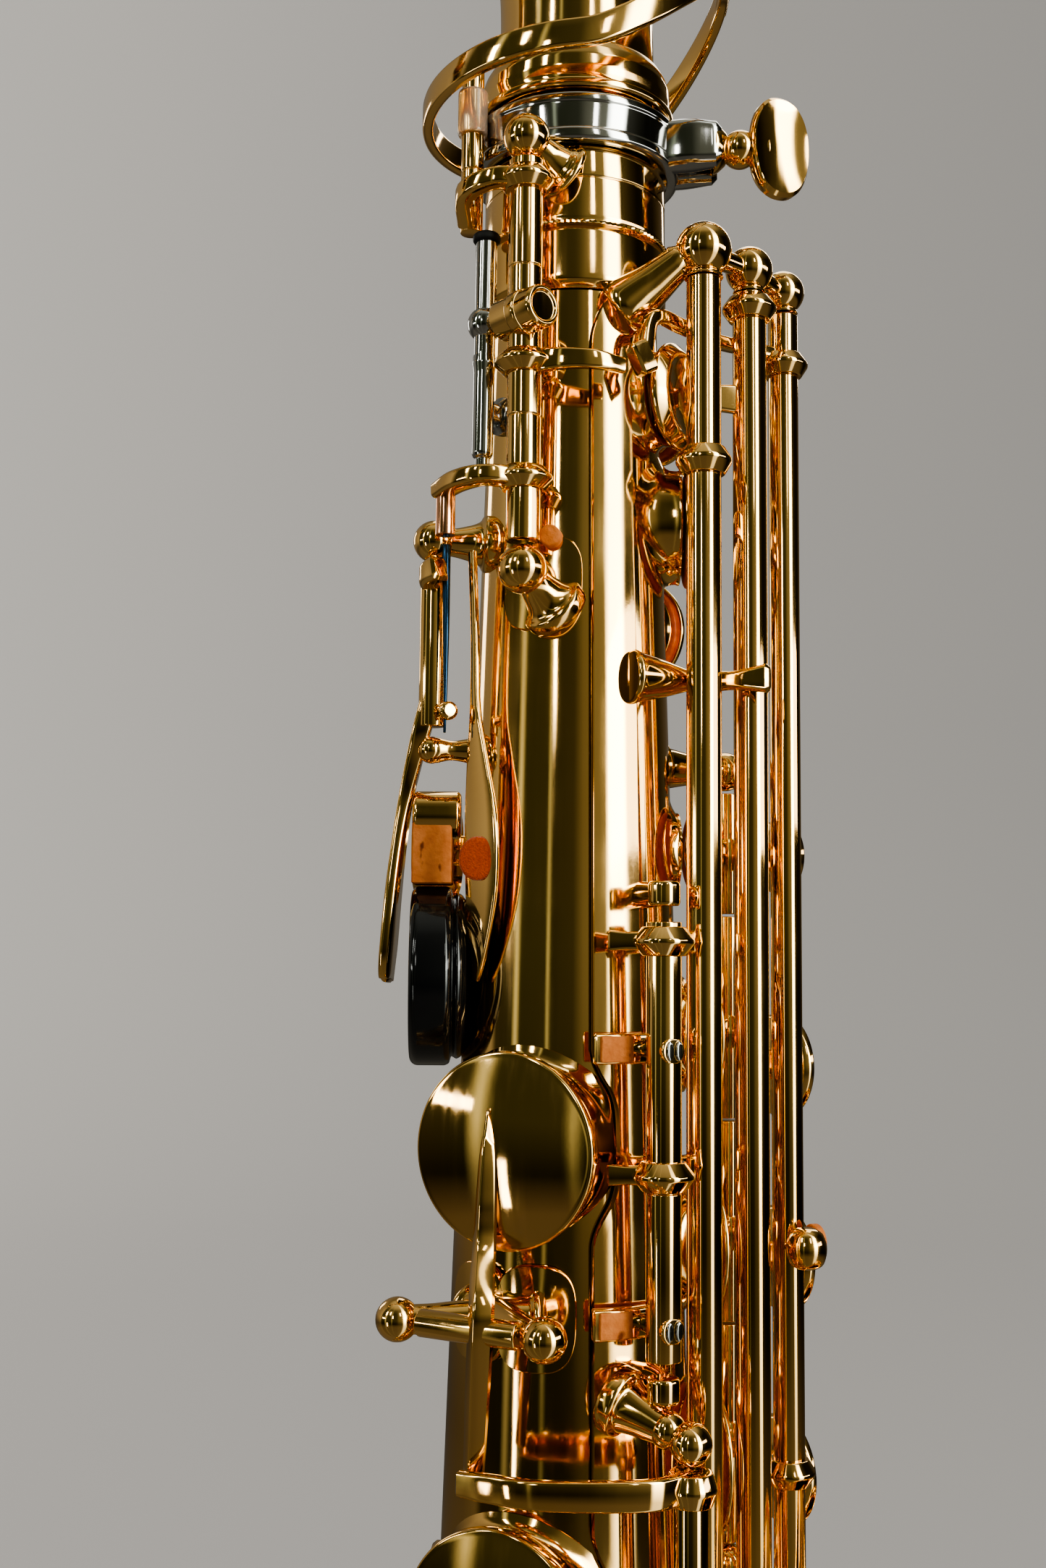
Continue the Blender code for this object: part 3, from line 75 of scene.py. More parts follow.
# the three long rods: angle, radius, top, bottom and thickness; the other rods: angle and radius
ROD_E = (231.5, 22.5, 188, -10, 2.4)
ROD_FS = (254, 25.9, 188.5, -40, 2.4)
ROD_G = (272, 31, 188.5, 3.5, 2.2)
STACK_TOP_ROD = (295, 25.9)
STACK_LOW_ROD = (228, 33)
OCTAVE_ROD = (157, 18.5)
THUMB_ROD = (107, 20.7)
BRIDGE_ROD = (209, 24)
SIDE_C_ROD = (212, 28)
SIDE_BB_ROD = (196, 27.5)
G_SHARP_ROD = (318, 28)
PINKY_ROD = (192, 35)
SIDE_HINGE = (150, 26.1)
CLAMP_Z = 211.4
LONG_BALL_Z = 192.2
RIB_TOP = 186
RIB_BOTTOM = -75
RIB_LEFT = 189
RIB_RIGHT = 214
SIDE_HOLE_CLEARANCE = 14.6
LOOP_RADIUS = 22
LOOP_Z = 219.5
LOOP_RISE = 18.5
GUARD_X = 58
BELL_HOLES = ((-96, 43), (-152, 41))
BOW_KEY_Z = -309
UP = Vector((0, 0, 1))
TO_LEFT = Vector((1, 0, 0))
TO_PLAYER = Vector((0, 1, 0))
SHARP_ANGLE = 36

# name, angle, height, radius of the hole, and how far its rim stands from the axis
TONE_HOLES = [("high_fs", 240, 173, 6.6, 14.8), ("high_e", 268, 156, 8.2, 15.6),
    ("palm_f", 302, 176, 6.6, 15), ("palm_eb", 325, 143, 7.4, 15.8), ("palm_d", 352, 114, 8.2, 16.8),
    ("c_vent", 273, 109, 5.4, 15.4), ("b_hole", 273, 83, 8, 16.2), ("a_hole", 273, 54, 8.4, 17),
    ("g_hole", 273, 25, 9, 17.7), ("side_c", 154, 68.7, 11.4, 18), ("side_bb", 154, 9, 11.4, 19.5),
    ("g_sharp", 286, -19, 8.2, 19.6), ("fs_hole", 262, -58, 10, 21.4), ("f_hole", 262, -88, 11.2, 22.4),
    ("e_hole", 262, -121, 12, 23.4), ("d_hole", 262, -156, 12.6, 24.4), ("low_eb", 222, -206, 12.6, 26.6)]


# ---------------------------------------------------------------- positions
def polar(angle, radius, z):
    """Point at an angle and a radius about the body axis."""
    a = math.radians(angle)
    return Vector((radius * math.cos(a), AXIS_Y + radius * math.sin(a), z))


def outward(angle):
    """Direction away from the body axis at an angle."""
    a = math.radians(angle)
    return Vector((math.cos(a), math.sin(a), 0))


def sideways(angle):
    """Direction round the body axis at an angle."""
    a = math.radians(angle)
    return Vector((-math.sin(a), math.cos(a), 0))


def tube_radius(z):
    """Outer radius of the tapered body tube at a height."""
    return TUBE_TOP_R + (188 - z) * TUBE_TAPER


def bell_radius(z):
    """Outer radius of the flared bell at a height."""
    drop = BELL_RIM_Z - z
    return 31 + 30 * math.exp(-drop / 17) + 0.034 * max(0, 215 - drop)


def aim(origin, direction, hint=UP):
    """Frame with its Z along a direction and its X near the hint."""
    z = direction.normalized()
    x = hint - z * hint.dot(z)
    if x.length < 1e-4:
        x = TO_LEFT - z * z.x
    x.normalize()
    turn = Matrix((x, z.cross(x), z)).transposed().to_4x4()
    return Matrix.Translation(origin) @ turn


def shift(x, y, z):
    return Matrix.Translation((x, y, z))


def upright_at(angle, radius, z):
    """Upright frame at a polar position."""
    return shift(*polar(angle, radius, z))


def facing(angle, radius, z):
    """Frame at a polar position with its Z pointing away from the body axis."""
    return aim(polar(angle, radius, z), outward(angle))


# ---------------------------------------------------------------- mesh kit: every shape is (points, faces)
def fillet(profile, radius, steps=3):
    """Outline with its inner corners rounded."""
    rows = [np.array(p, float) for p in profile]
    out = [rows[0]]
    for before, corner, after in zip(rows, rows[1:], rows[2:]):
        a, b = before - corner, after - corner
        la, lb = np.linalg.norm(a), np.linalg.norm(b)
        cut = min(radius, 0.42 * la, 0.42 * lb)
        if cut < 0.01 or abs(a[0] * b[1] - a[1] * b[0]) < 0.02 * la * lb:
            out.append(corner)
            continue
        start, end = corner + a / la * cut, corner + b / lb * cut
        for k in range(steps + 1):
            t = k / steps
            out.append((1 - t) ** 2 * start + 2 * t * (1 - t) * corner + t * t * end)
    out.append(rows[-1])
    return out


def placed(points, matrix):
    """Points moved by a matrix."""
    m = np.array(matrix)
    return points @ m[:3, :3].T + m[:3, 3]


def turned(profile, at, segs=48, ring=False, soft=0.3, shape=None):
    """Profile of (radius, height) turned about a frame's Z; shape squares the outline off."""
    rows = list(profile)
    if ring:
        rows = fillet(rows[-1:] + rows + rows[:1], soft)[1:-1]
    else:
        if rows[0][0] > 1e-6:
            rows.insert(0, (0, rows[0][1]))
        if rows[-1][0] > 1e-6:
            rows.append((0, rows[-1][1]))
        rows = fillet(rows, soft)
    a = np.arange(segs) * 2 * math.pi / segs
    c, s = np.cos(a), np.sin(a)
    if shape:
        wide, tall, power = shape
        c = np.sign(c) * np.abs(c) ** (2 / power) * wide
        s = np.sign(s) * np.abs(s) ** (2 / power) * tall
    points, index, total = [], [], 0
    for r, h in rows:
        if r < 1e-6:
            points.append(np.array([[0, 0, h]]))
            index.append([total])
            total += 1
        else:
            points.append(np.column_stack((r * c, r * s, np.full(segs, h))))
            index.append(list(range(total, total + segs)))
            total += segs
    pairs = list(zip(index, index[1:]))
    if ring:
        pairs.append((index[-1], index[0]))
    faces = []
    for low, high in pairs:
        if len(low) == 1 and len(high) == 1:
            continue
        for k in range(segs):
            j = (k + 1) % segs
            if len(low) == 1:
                faces.append((low[0], high[j], high[k]))
            elif len(high) == 1:
                faces.append((low[k], low[j], high[0]))
            else:
                faces.append((low[k], low[j], high[j], high[k]))
    return placed(np.vstack(points), at), faces


def rod(start, end, radius, end_radius=None):
    """Straight round bar, tapered when an end radius is given."""
    other = radius if end_radius is None else end_radius
    return turned([(radius, 0), (other, (end - start).length)], aim(start, end - start), 36, soft=0.25)


def ball(centre, radius, segs=40):
    """Sphere round a centre."""
    half = [math.pi * k / 20 for k in range(21)]
    profile = [(radius * math.sin(a), -radius * math.cos(a)) for a in half]
    profile[0], profile[-1] = (0, -radius), (0, radius)
    return turned(profile, shift(*centre), segs, soft=0)


def smooth_path(rows, steps):
    """Rows of numbers read from a Catmull-Rom curve through the given rows."""
    rows = np.array(rows, float)
    ext = np.vstack([2 * rows[0] - rows[1], rows, 2 * rows[-1] - rows[-2]])
    out = []
    for i in range(1, len(ext) - 2):
        p0, p1, p2, p3 = ext[i - 1], ext[i], ext[i + 1], ext[i + 2]
        for k in range(steps):
            t = k / steps
            out.append(0.5 * (2 * p1 + (p2 - p0) * t + (2 * p0 - 5 * p1 + 4 * p2 - p3) * t * t
                + (3 * p1 - p0 - 3 * p2 + p3) * t ** 3))
    out.append(rows[-1])
    return np.array(out)


def unit(v):
    return v / max(np.linalg.norm(v), 1e-9)


def skin(rings, closed=False):
    """Faces over a row of rings with the same count of points."""
    segs = len(rings[0])
    points = np.vstack(rings)
    count = len(rings)
    faces = []
    for k in range(count if closed else count - 1):
        low, high = k * segs, ((k + 1) % count) * segs
        for j in range(segs):
            i = (j + 1) % segs
            faces.append((low + j, low + i, high + i, high + j))
    if not closed:
        faces.append(tuple(reversed(range(segs))))
        faces.append(tuple(range((count - 1) * segs, count * segs)))
    return points, faces


def each(value, count):
    """One value for each point, repeated when only one is given."""
    return list(value) if isinstance(value, (list, tuple)) else [value] * count


def box_section(width, thick, corner):
    """Outline of a bar with round corners."""
    r = min(corner, 0.48 * width, 0.48 * thick)
    out = []
    for sx, sy, a0 in ((1, 1, 0), (-1, 1, 90), (-1, -1, 180), (1, -1, 270)):
        for k in range(4):
            a = math.radians(a0 + 30 * k)
            out.append((sx * (width / 2 - r) + r * math.cos(a), sy * (thick / 2 - r) + r * math.sin(a)))
    return out


def ridge_section(width, thick, corner):
    """Low roof: flat underneath with one ridge along the top."""
    w, t, c = width / 2, thick / 2, corner * 0.5
    return [(w, -t + c), (w - c, -t), (0, -t), (-w + c, -t), (-w, -t + c), (-w, -t * 0.2), (-c, t - c * 0.3),
        (0, t), (c, t - c * 0.3), (w, -t * 0.2)]


def strip(points, width, thick, up, steps=6, corner=0.4, section=box_section):
    """Bar with rounded edges along a smooth line; up gives the direction of its width."""
    count = len(points)
    rows = [[*p, *up, w, t] for p, w, t in zip(points, each(width, count), each(thick, count))]
    path = smooth_path(rows, steps)
    rings = []
    last = len(path) - 1
    for k, row in enumerate(path):
        ahead = unit(path[min(k + 1, last), :3] - path[max(k - 1, 0), :3])
        across = unit(row[3:6] - ahead * np.dot(row[3:6], ahead))
        normal = np.cross(ahead, across)
        outline = [(0, 0)]
        if k == 0:
            outline = [(corner * 0.6, -corner * 0.6), (0, 0)]
        elif k == last:
            outline = [(0, 0), (corner * 0.6, corner * 0.6)]
        for cut, run in outline:
            flat = section(max(row[6] - 2 * cut, 0.2), max(row[7] - 2 * cut, 0.2), corner)
            rings.append(np.array([row[:3] + ahead * run + across * a + normal * b for a, b in flat]))
    return skin(rings)


def bar(route, width, thick, corner=0.4, steps=6):
    """Strip along polar positions with its width upright."""
    return strip([polar(*where) for where in route], width, thick, UP, steps, corner)


def sweep(points, radii, segs=24, steps=6):
    """Round bar along a smooth line."""
    count = len(points)
    path = smooth_path([[*p, r] for p, r in zip(points, each(radii, count))], steps)
    return skin(round_rings(path, segs, True))


def round_rings(path, segs, round_ends=False):
    """Circles across a path whose rows are a point and a radius."""
    last = len(path) - 1
    side = np.array([1, 0, 0])
    rings = []
    a = np.arange(segs) * 2 * math.pi / segs
    for k, row in enumerate(path):
        ahead = unit(path[min(k + 1, last), :3] - path[max(k - 1, 0), :3])
        flat = side - ahead * np.dot(side, ahead)
        if np.linalg.norm(flat) < 0.05:
            flat = np.array([0, 1, 0]) - ahead * ahead[1]
        side = unit(flat)
        other = np.cross(ahead, side)
        plan = [(1, 0)]
        if round_ends and k == 0:
            plan = [(0.25, -0.5), (0.75, -0.36), (1, 0)]
        if round_ends and k == last:
            plan = [(1, 0), (0.75, 0.36), (0.25, 0.5)]
        for share, run in plan:
            r = row[3] * share
            centre = row[:3] + ahead * row[3] * run
            rings.append(centre + np.outer(np.cos(a) * r, side) + np.outer(np.sin(a) * r, other))
    return rings


def pipe(points, outer, inner, segs, steps=6):
    """Hollow bent tube with an open bore."""
    outside = round_rings(smooth_path([[*p, r] for p, r in zip(points, outer)], steps), segs)
    inside = round_rings(smooth_path([[*p, r] for p, r in zip(points, inner)], steps), segs)
    return skin(outside + inside[::-1], closed=True)


def wrapped(part, angle, z):
    """Flat shape (across, up, out) bent round the body tube."""
    points, faces = part
    out = []
    for x, y, h in points:
        base = tube_radius(z + y)
        out.append(polar(angle + math.degrees(x / base), base + h, z + y))
    return np.array(out), faces


def plate_on_tube(angle, z, half_wide, half_tall, lift, thick, power):
    """Thin soldered plate that follows the tube, with a rounded outline."""
    rows = [(0, lift)] + [(share, lift) for share in (0.3, 0.6, 0.85, 1)]
    rows += [(1, lift + thick * 0.6), (0.97, lift + thick)] + [(share, lift + thick)
        for share in (0.85, 0.6, 0.3)]
    rows.append((0, lift + thick))
    flat = turned(rows, Matrix.Identity(4), 64, soft=0, shape=(half_wide, half_tall, power))
    return wrapped(flat, angle, z)


def upright(angle, radius, top, bottom, thick, lines=(), segs=40):
    """Vertical rod with a fine joint line at each given height."""
    rows = [(thick, bottom)]
    for z in sorted(lines):
        rows += [(thick, z - 0.16), (thick - 0.16, z), (thick, z + 0.16)]
    rows.append((thick, top))
    return turned(rows, upright_at(angle, radius, 0), segs, soft=0.14)


def collar(place_at, size, tall, grow):
    """Double-bevelled ring round a rod."""
    return turned([(size + 0.1, -tall), (size + 0.5, -tall), (size * grow, -0.25), (size * grow, 0.25),
        (size + 0.5, tall), (size + 0.1, tall)], shift(*place_at), 56, soft=0.16)


def post_between(start, end, foot, neck, ball_r):
    """Turned post: flanged foot, waisted stem and a ball on the rod's line."""
    run = (end - start).length
    rows = [(foot * 1.28, -1.2), (foot * 1.28, 1.2), (foot * 1, 1.6), (foot * 0.84, run * 0.32),
        (foot * 0.64, run * 0.62), (neck, run * 0.88), (neck, run)]
    return [turned(rows, aim(start, end - start), 44, soft=0.9), ball(end, ball_r)]


def post(angle, radius, z, ball_r, base_angle=None, foot=3.2):
    """Post that carries a ball on a rod's line; its base may stand at another angle."""
    side = angle if base_angle is None else base_angle
    return post_between(polar(side, tube_radius(z) - 0.5, z), polar(angle, radius, z), foot, 1.8, ball_r)


def chimney(angle, z, radius, top):
    """Drawn tone hole: its root flares into the tube and its rim is rolled."""
    segs = 72
    a = np.arange(segs) * 2 * math.pi / segs
    tube = tube_radius(z)
    rings = []

    def ring(r, height):
        rings.append(np.column_stack((r * np.cos(a), r * np.sin(a), height)))

    for grow, lift in ((2, -0.25), (1.35, -0.02), (0.8, 0.2), (0.35, 0.6), (0.08, 1.15), (0, 1.9)):
        r = radius + grow
        fall = np.sqrt(np.maximum(tube ** 2 - (r * np.sin(a)) ** 2, 1))
        ring(r, np.minimum(fall + lift, top - 0.6))
    for grow, lift in ((0, -0.5), (0.12, -0.3), (0.1, -0.08), (-0.2, 0), (-0.7, -0.02),
            (-0.95, -0.3), (-1, -1)):
        ring(radius + grow, np.full(segs, top + lift))
    ring(radius - 1, np.full(segs, tube * 0.72))
    return placed(np.vstack(rings), facing(angle, 0, z)), skin(rings)[1]


# ---------------------------------------------------------------- materials
def shader_of(name, base, rough, metal=0.0, **extra):
    """New material with its node tree and its Principled shader."""
    mat = bpy.data.materials.new(name)
    mat.use_nodes = True
    shader = mat.node_tree.nodes["Principled BSDF"]
    shader.inputs["Base Color"].default_value = (*base, 1.0)
    shader.inputs["Roughness"].default_value = rough
    shader.inputs["Metallic"].default_value = metal
    for key, value in extra.items():
        shader.inputs[key.replace("_", " ")].default_value = value
    return mat, mat.node_tree, shader


def add(tree, kind, **values):
    """New node with its inputs or settings filled in."""
    made = tree.nodes.new(kind)
    for key, value in values.items():
        if key in made.inputs:
            made.inputs[key].default_value = value
        else:
            setattr(made, key, value)
    return made


def noise(tree, scale, detail=3.0, stretch=None, kind="ShaderNodeTexNoise"):
    """Noise in the object's own space; stretch draws it out along an axis."""
    where = tree.nodes.new("ShaderNodeTexCoord")
    out = add(tree, kind, Scale=scale)
    if "Detail" in out.inputs:
        out.inputs["Detail"].default_value = detail
    source = where.outputs["Object"]
    if stretch:
        mapping = tree.nodes.new("ShaderNodeMapping")
        mapping.inputs["Scale"].default_value = stretch
        tree.links.new(source, mapping.inputs["Vector"])
        source = mapping.outputs["Vector"]
    tree.links.new(source, out.inputs["Vector"])
    return out


def ramp(tree, source, stops):
    """Colour ramp fed by a number."""
    made = tree.nodes.new("ShaderNodeValToRGB")
    cells = made.color_ramp.elements
    while len(cells) < len(stops):
        cells.new(0.5)
    for cell, (at, colour) in zip(cells, stops):
        cell.position = at
        cell.color = (*colour, 1.0) if len(colour) == 3 else colour
    tree.links.new(source, made.inputs["Fac"])
    return made.outputs["Color"]


def blend(tree, kind, first, second, factor=None):
    """Two colours combined; the colour sockets of the node come after its number sockets."""
    made = add(tree, "ShaderNodeMix", data_type="RGBA", blend_type=kind)
    made.inputs[0].default_value = 1.0
    if factor is not None:
        tree.links.new(factor, made.inputs[0])
    tree.links.new(first, made.inputs[6])
    tree.links.new(second, made.inputs[7])
    return made.outputs[2]


def bumped(tree, shader, source, strength, distance):
    """Bump laid over the normal that the shader already has."""
    bump = add(tree, "ShaderNodeBump", Strength=strength, Distance=distance)
    tree.links.new(source, bump.inputs["Height"])
    previous = shader.inputs["Normal"].links
    if previous:
        tree.links.new(previous[0].from_socket, bump.inputs["Normal"])
    tree.links.new(bump.outputs["Normal"], shader.inputs["Normal"])


def grey(v):
    return (v, v, v)


def polished(name, light, dark, rough):
    """Polished metal: slow tone drift, hazy patches, fine hairlines and dust specks."""
    mat, tree, shader = shader_of(name, light, rough, 1.0)
    tone = ramp(tree, noise(tree, 22.0).outputs["Fac"], [(0.35, dark), (0.65, light)])
    specks = noise(tree, 620.0, 0.0, kind="ShaderNodeTexVoronoi").outputs["Distance"]
    dust = ramp(tree, specks, [(0.0, (0.95, 0.88, 0.74)), (0.035, (0.95, 0.88, 0.74)), (0.05, grey(0.0))])
    mask = ramp(tree, specks, [(0.0, grey(0.3)), (0.035, grey(0.3)), (0.05, grey(0.0))])
    tree.links.new(blend(tree, "MIX", tone, dust, mask), shader.inputs["Base Color"])
    haze = ramp(tree, noise(tree, 70.0, 5.0).outputs["Fac"],
        [(0.4, grey(rough)), (0.75, grey(rough + 0.07))])
    hair = ramp(tree, noise(tree, 900.0, 2.0, (1.0, 1.0, 0.02)).outputs["Fac"],
        [(0.4, grey(0.0)), (0.9, grey(0.08))])
    tree.links.new(blend(tree, "ADD", haze, hair), shader.inputs["Roughness"])
    bumped(tree, shader, noise(tree, 45.0, 1.0).outputs["Fac"], 0.05, 0.0006)
    bumped(tree, shader, noise(tree, 1400.0, 2.0).outputs["Fac"], 0.02, 0.00005)
    return mat


def grained(name, light, dark, rough, scale, depth, flecks=None, **extra):
    """Soft material with two tones, a bumpy grain and optional dark flecks."""
    mat, tree, shader = shader_of(name, light, rough, 0.0, **extra)
    tone = ramp(tree, noise(tree, scale, 6.0).outputs["Fac"], [(0.3, dark), (0.7, light)])
    if flecks:
        spots = ramp(tree, noise(tree, scale * 0.7, 2.0, (1.0, 1.0, 0.6)).outputs["Fac"],
            [(0.27, flecks), (0.34, grey(1.0))])
        tone = blend(tree, "MULTIPLY", tone, spots)
    tree.links.new(tone, shader.inputs["Base Color"])
    bumped(tree, shader, noise(tree, scale * 1.6, 4.0).outputs["Fac"], depth, 0.0003)
    return mat


def gloss(name, base, rough, handled, **extra):
    """Gloss moulding with handling marks."""
    mat, tree, shader = shader_of(name, base, rough, 0.0, **extra)
    marks = ramp(tree, noise(tree, 160.0, 8.0).outputs["Fac"],
        [(0.42, grey(rough)), (0.72, grey(rough + handled))])
    tree.links.new(marks, shader.inputs["Roughness"])
    tone = ramp(tree, noise(tree, 60.0).outputs["Fac"],
        [(0.3, base), (0.8, tuple(c * 1.8 + 0.002 for c in base))])
    tree.links.new(tone, shader.inputs["Base Color"])
    bumped(tree, shader, noise(tree, 700.0).outputs["Fac"], 0.03, 0.0001)
    return mat


def cane_look():
    mat, tree, shader = shader_of("cane", (0.74, 0.58, 0.28), 0.55)
    fibres = noise(tree, 1500.0, 4.0, (1.0, 0.03, 0.05)).outputs["Fac"]
    tree.links.new(ramp(tree, fibres, [(0.3, (0.60, 0.43, 0.18)), (0.7, (0.80, 0.66, 0.36))]),
        shader.inputs["Base Color"])
    bumped(tree, shader, fibres, 0.2, 0.0001)
    return mat


def pearl_look():
    mat, tree, shader = shader_of("pearl", (0.86, 0.84, 0.80), 0.22, 0.0, Coat_Weight=0.6,
        Coat_Roughness=0.05)
    swirl = noise(tree, 240.0, 4.0)
    swirl.inputs["Distortion"].default_value = 2.5
    tree.links.new(ramp(tree, swirl.outputs["Fac"], [(0.25, (0.80, 0.78, 0.86)), (0.45, (0.92, 0.90, 0.86)),
        (0.6, (0.74, 0.86, 0.80)), (0.8, (0.95, 0.86, 0.84))]), shader.inputs["Base Color"])
    return mat


LOOKS = {"brass": (polished("lacquered_brass", (0.95, 0.635, 0.285), (0.92, 0.575, 0.235), 0.045),
    "lacquered_brass"), "nickel": (polished("nickel", (0.56, 0.55, 0.54), (0.48, 0.475, 0.47), 0.06),
    "nickel"), "copper": (polished("copper", (0.90, 0.50, 0.32), (0.82, 0.42, 0.26), 0.14), None),
    "blued": (polished("blued_steel", (0.05, 0.11, 0.19), (0.03, 0.06, 0.11), 0.25), None),
    "plastic": (gloss("black_plastic", (0.006, 0.006, 0.007), 0.07, 0.10, Coat_Weight=0.5,
    Coat_Roughness=0.03), "black_plastic"), "ebonite": (gloss("ebonite", (0.010, 0.009, 0.008), 0.16, 0.12),
    "ebonite"), "rubber": (gloss("rubber", (0.012, 0.012, 0.012), 0.5, 0.2), None),
    "sleeve": (gloss("sleeve", (0.95, 0.80, 0.70), 0.14, 0.1, Transmission_Weight=0.75, IOR=1.4), None),
    "leather": (grained("pad_leather", (0.74, 0.15, 0.016), (0.54, 0.085, 0.008), 0.48, 900.0, 0.35,
    Sheen_Weight=0.15), None), "felt": (grained("felt", (0.86, 0.13, 0.008), (0.66, 0.075, 0.004), 0.9,
    2600.0, 0.8, Sheen_Weight=0.6), None), "cork": (grained("cork", (0.74, 0.27, 0.09), (0.60, 0.185, 0.055),
    0.85, 800.0, 0.6, flecks=(0.35, 0.25, 0.2)), "cork"), "cane": (cane_look(), "cane"),
    "pearl": (pearl_look(), None)}


# ---------------------------------------------------------------- objects
def make(name, look, parts, body, stands_for=None, pivot=None, turn=0):
    """One fine piece from its parts, turned open about a vertical line by some degrees."""
    points, faces, total = [], [], 0
    for part, part_faces in parts:
        points.append(part)
        faces += [tuple(i + total for i in face) for face in part_faces]
        total += len(part)
    points = np.vstack(points)
    if turn:
        c, s = math.cos(math.radians(turn)), math.sin(math.radians(turn))
        flat = points[:, :2] - np.array(pivot[:2])
        points[:, :2] = flat @ np.array([[c, s], [-s, c]]) + np.array(pivot[:2])
    mesh = bpy.data.meshes.new(name)
    mesh.from_pydata((points * MM).tolist(), [], faces)
    bm = bmesh.new()
    bm.from_mesh(mesh)
    bmesh.ops.recalc_face_normals(bm, faces=bm.faces)
    bm.to_mesh(mesh)
    bm.free()
    mat, slot = LOOKS[look]
    mesh.materials.append(mat)
    mesh.shade_smooth()
    mesh.set_sharp_from_angle(angle=math.radians(SHARP_ANGLE))
    thing = bpy.data.objects.new(name, mesh)
    bpy.context.scene.collection.objects.link(thing)
    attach(thing, body)
    if stands_for:
        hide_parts(stands_for)


def build(node, body, turn=0, pivot=None, **groups):
    """One CAD node's fine pieces, a piece for each material; the first stands for the node."""
    first = node
    for look, parts in groups.items():
        if parts:
            make(f"{node}_{look}", look, parts, body, first, pivot, turn)
            first = None


def build_moving(node, turn=0, pivot=None, **groups):
    """Fine pieces of a node that has a body of its own."""
    build(node, f"{node}_body", turn, pivot, **groups)


# ---------------------------------------------------------------- body, bow and bell
PALM_POSTS = [(330, 21.5, 184), (330, 21.5, 160), (358, 21.8, 156), (358, 21.8, 131.5),
    (25, 22.8, 132), (25, 22.8, 103)]


def body_tube():
    heights = [TUBE_BOTTOM + (TUBE_TOP - TUBE_BOTTOM) * k / 40 for k in range(41)]
    parts = [turned([(tube_radius(z), z) for z in heights], shift(0, AXIS_Y, 0), 200, soft=0)]
    for _, angle, z, radius, top in TONE_HOLES:
        parts.append(chimney(angle, z, radius, top))
    parts += post_between(polar(168, tube_radius(142.5) - 0.5, 141.5), polar(157, 18.5, 146), 3.6, 2.4, 3.4)
    parts.append(plate_on_tube(160, 145, 5.6, 6.6, 0, 0.8, 3.4))
    parts += post(107, 20.7, 152.3, 3, 112)
    parts += post(107, 20.7, 122.5, 1.9, 112, 2)
    for angle, radius, z in ((295, 25.9, 121.6), (295, 25.9, 7.2), *PALM_POSTS):
        parts += post(angle, radius, z, 2.9)
    for z in (-40.8, -105, -178):
        parts += post(228, 33, z, 3.1)
    for angle, radius, z in ((318, 28, -1), (318, 28, -35.6), (320, 31, -116.2), (333, 31, -176),
            (347, 31, -236), (192, 35, -183), (192, 35, -232), (196, 27.5, -106)):
        parts += post(angle, radius, z, 2.9)
    parts.append(plate_on_tube(228, -73, 3.6, 38, 0, 0.9, 8))
    parts.append(plate_on_tube(228, -141, 3.6, 42, 0, 0.9, 8))
    build("body_tube", "body", brass=parts, cork=[turned([(1.5, 0), (1.5, 2.6)],
        facing(166.5, tube_radius(151), 151.2), 24, soft=0.3)])


def bow():
    points = [Vector((0, AXIS_Y, TUBE_BOTTOM - GAP))]
    outer = [tube_radius(TUBE_BOTTOM) + 0.4]
    steps = 12
    for k in range(steps + 1):
        a = math.pi * k / steps
        points.append(Vector((0, AXIS_Y - BELL_OFFSET / 2 * (1 - math.cos(a)),
            BOW_Z - BELL_OFFSET / 2 * math.sin(a))))
        outer.append(25.4 + 5.6 * (k + 1) / (steps + 1))
    points.append(Vector((0, BELL_Y, TUBE_BOTTOM - GAP)))
    outer.append(31.2)
    parts = [pipe(points, outer, [r - 1.2 for r in outer], 128)]
    for x, y, side in ((-8, AXIS_Y - 38, -1), (8, AXIS_Y - 60, 1)):
        at = aim(Vector((x, y, BOW_KEY_Z)), Vector((side, 0, 0)))
        parts.append(turned([(14, 12), (14, 22.9), (14.15, 23.2), (13.9, 23.5), (13, 23.5), (12.8, 23),
            (12.8, 12)], at, 80, ring=True, soft=0.15))
    ahead = (points[7] - points[6]).normalized()
    rim = outer[6] + 0.1
    parts.append(turned([(rim - 0.4, -1.6), (rim + 0.7, -0.9), (rim + 0.7, 0.9), (rim - 0.4, 1.6)],
        aim(points[6], ahead), 128, ring=True))
    build("bow", "body", brass=parts)


def bell():
    low, high = TUBE_BOTTOM + GAP, BELL_RIM_Z - 2.2
    heights = [low + (high - low) * (k / 90) for k in range(91)]
    outside = [(bell_radius(z), z) for z in heights]
    roll = [(BELL_RIM_R - 1.5 + 1.5 * math.cos(math.radians(a)),
        BELL_RIM_Z - 1.5 + 1.5 * math.sin(math.radians(a))) for a in range(-80, 171, 25)]
    inside = [(bell_radius(z) - 1.3, z) for z in reversed(heights[:-1])]
    at = shift(0, BELL_Y, 0)
    parts = [turned(outside + roll + inside, at, 200, ring=True, soft=0)]
    for z, top in BELL_HOLES:
        parts.append(turned([(17, 22), (17, top - 0.6), (17.15, top - 0.2), (16.8, top), (16, top),
            (15.8, top - 0.6), (15.8, 22)], aim(Vector((0, BELL_Y, z)), TO_LEFT), 90, ring=True, soft=0.15))
    rim = bell_radius(-62)
    parts.append(turned([(rim - 0.6, -63.6), (rim + 0.7, -62.9), (rim + 0.9, -61.6), (rim - 0.2, -61)], at,
        160, ring=True, soft=0.3))
    build("bell", "body", brass=parts)


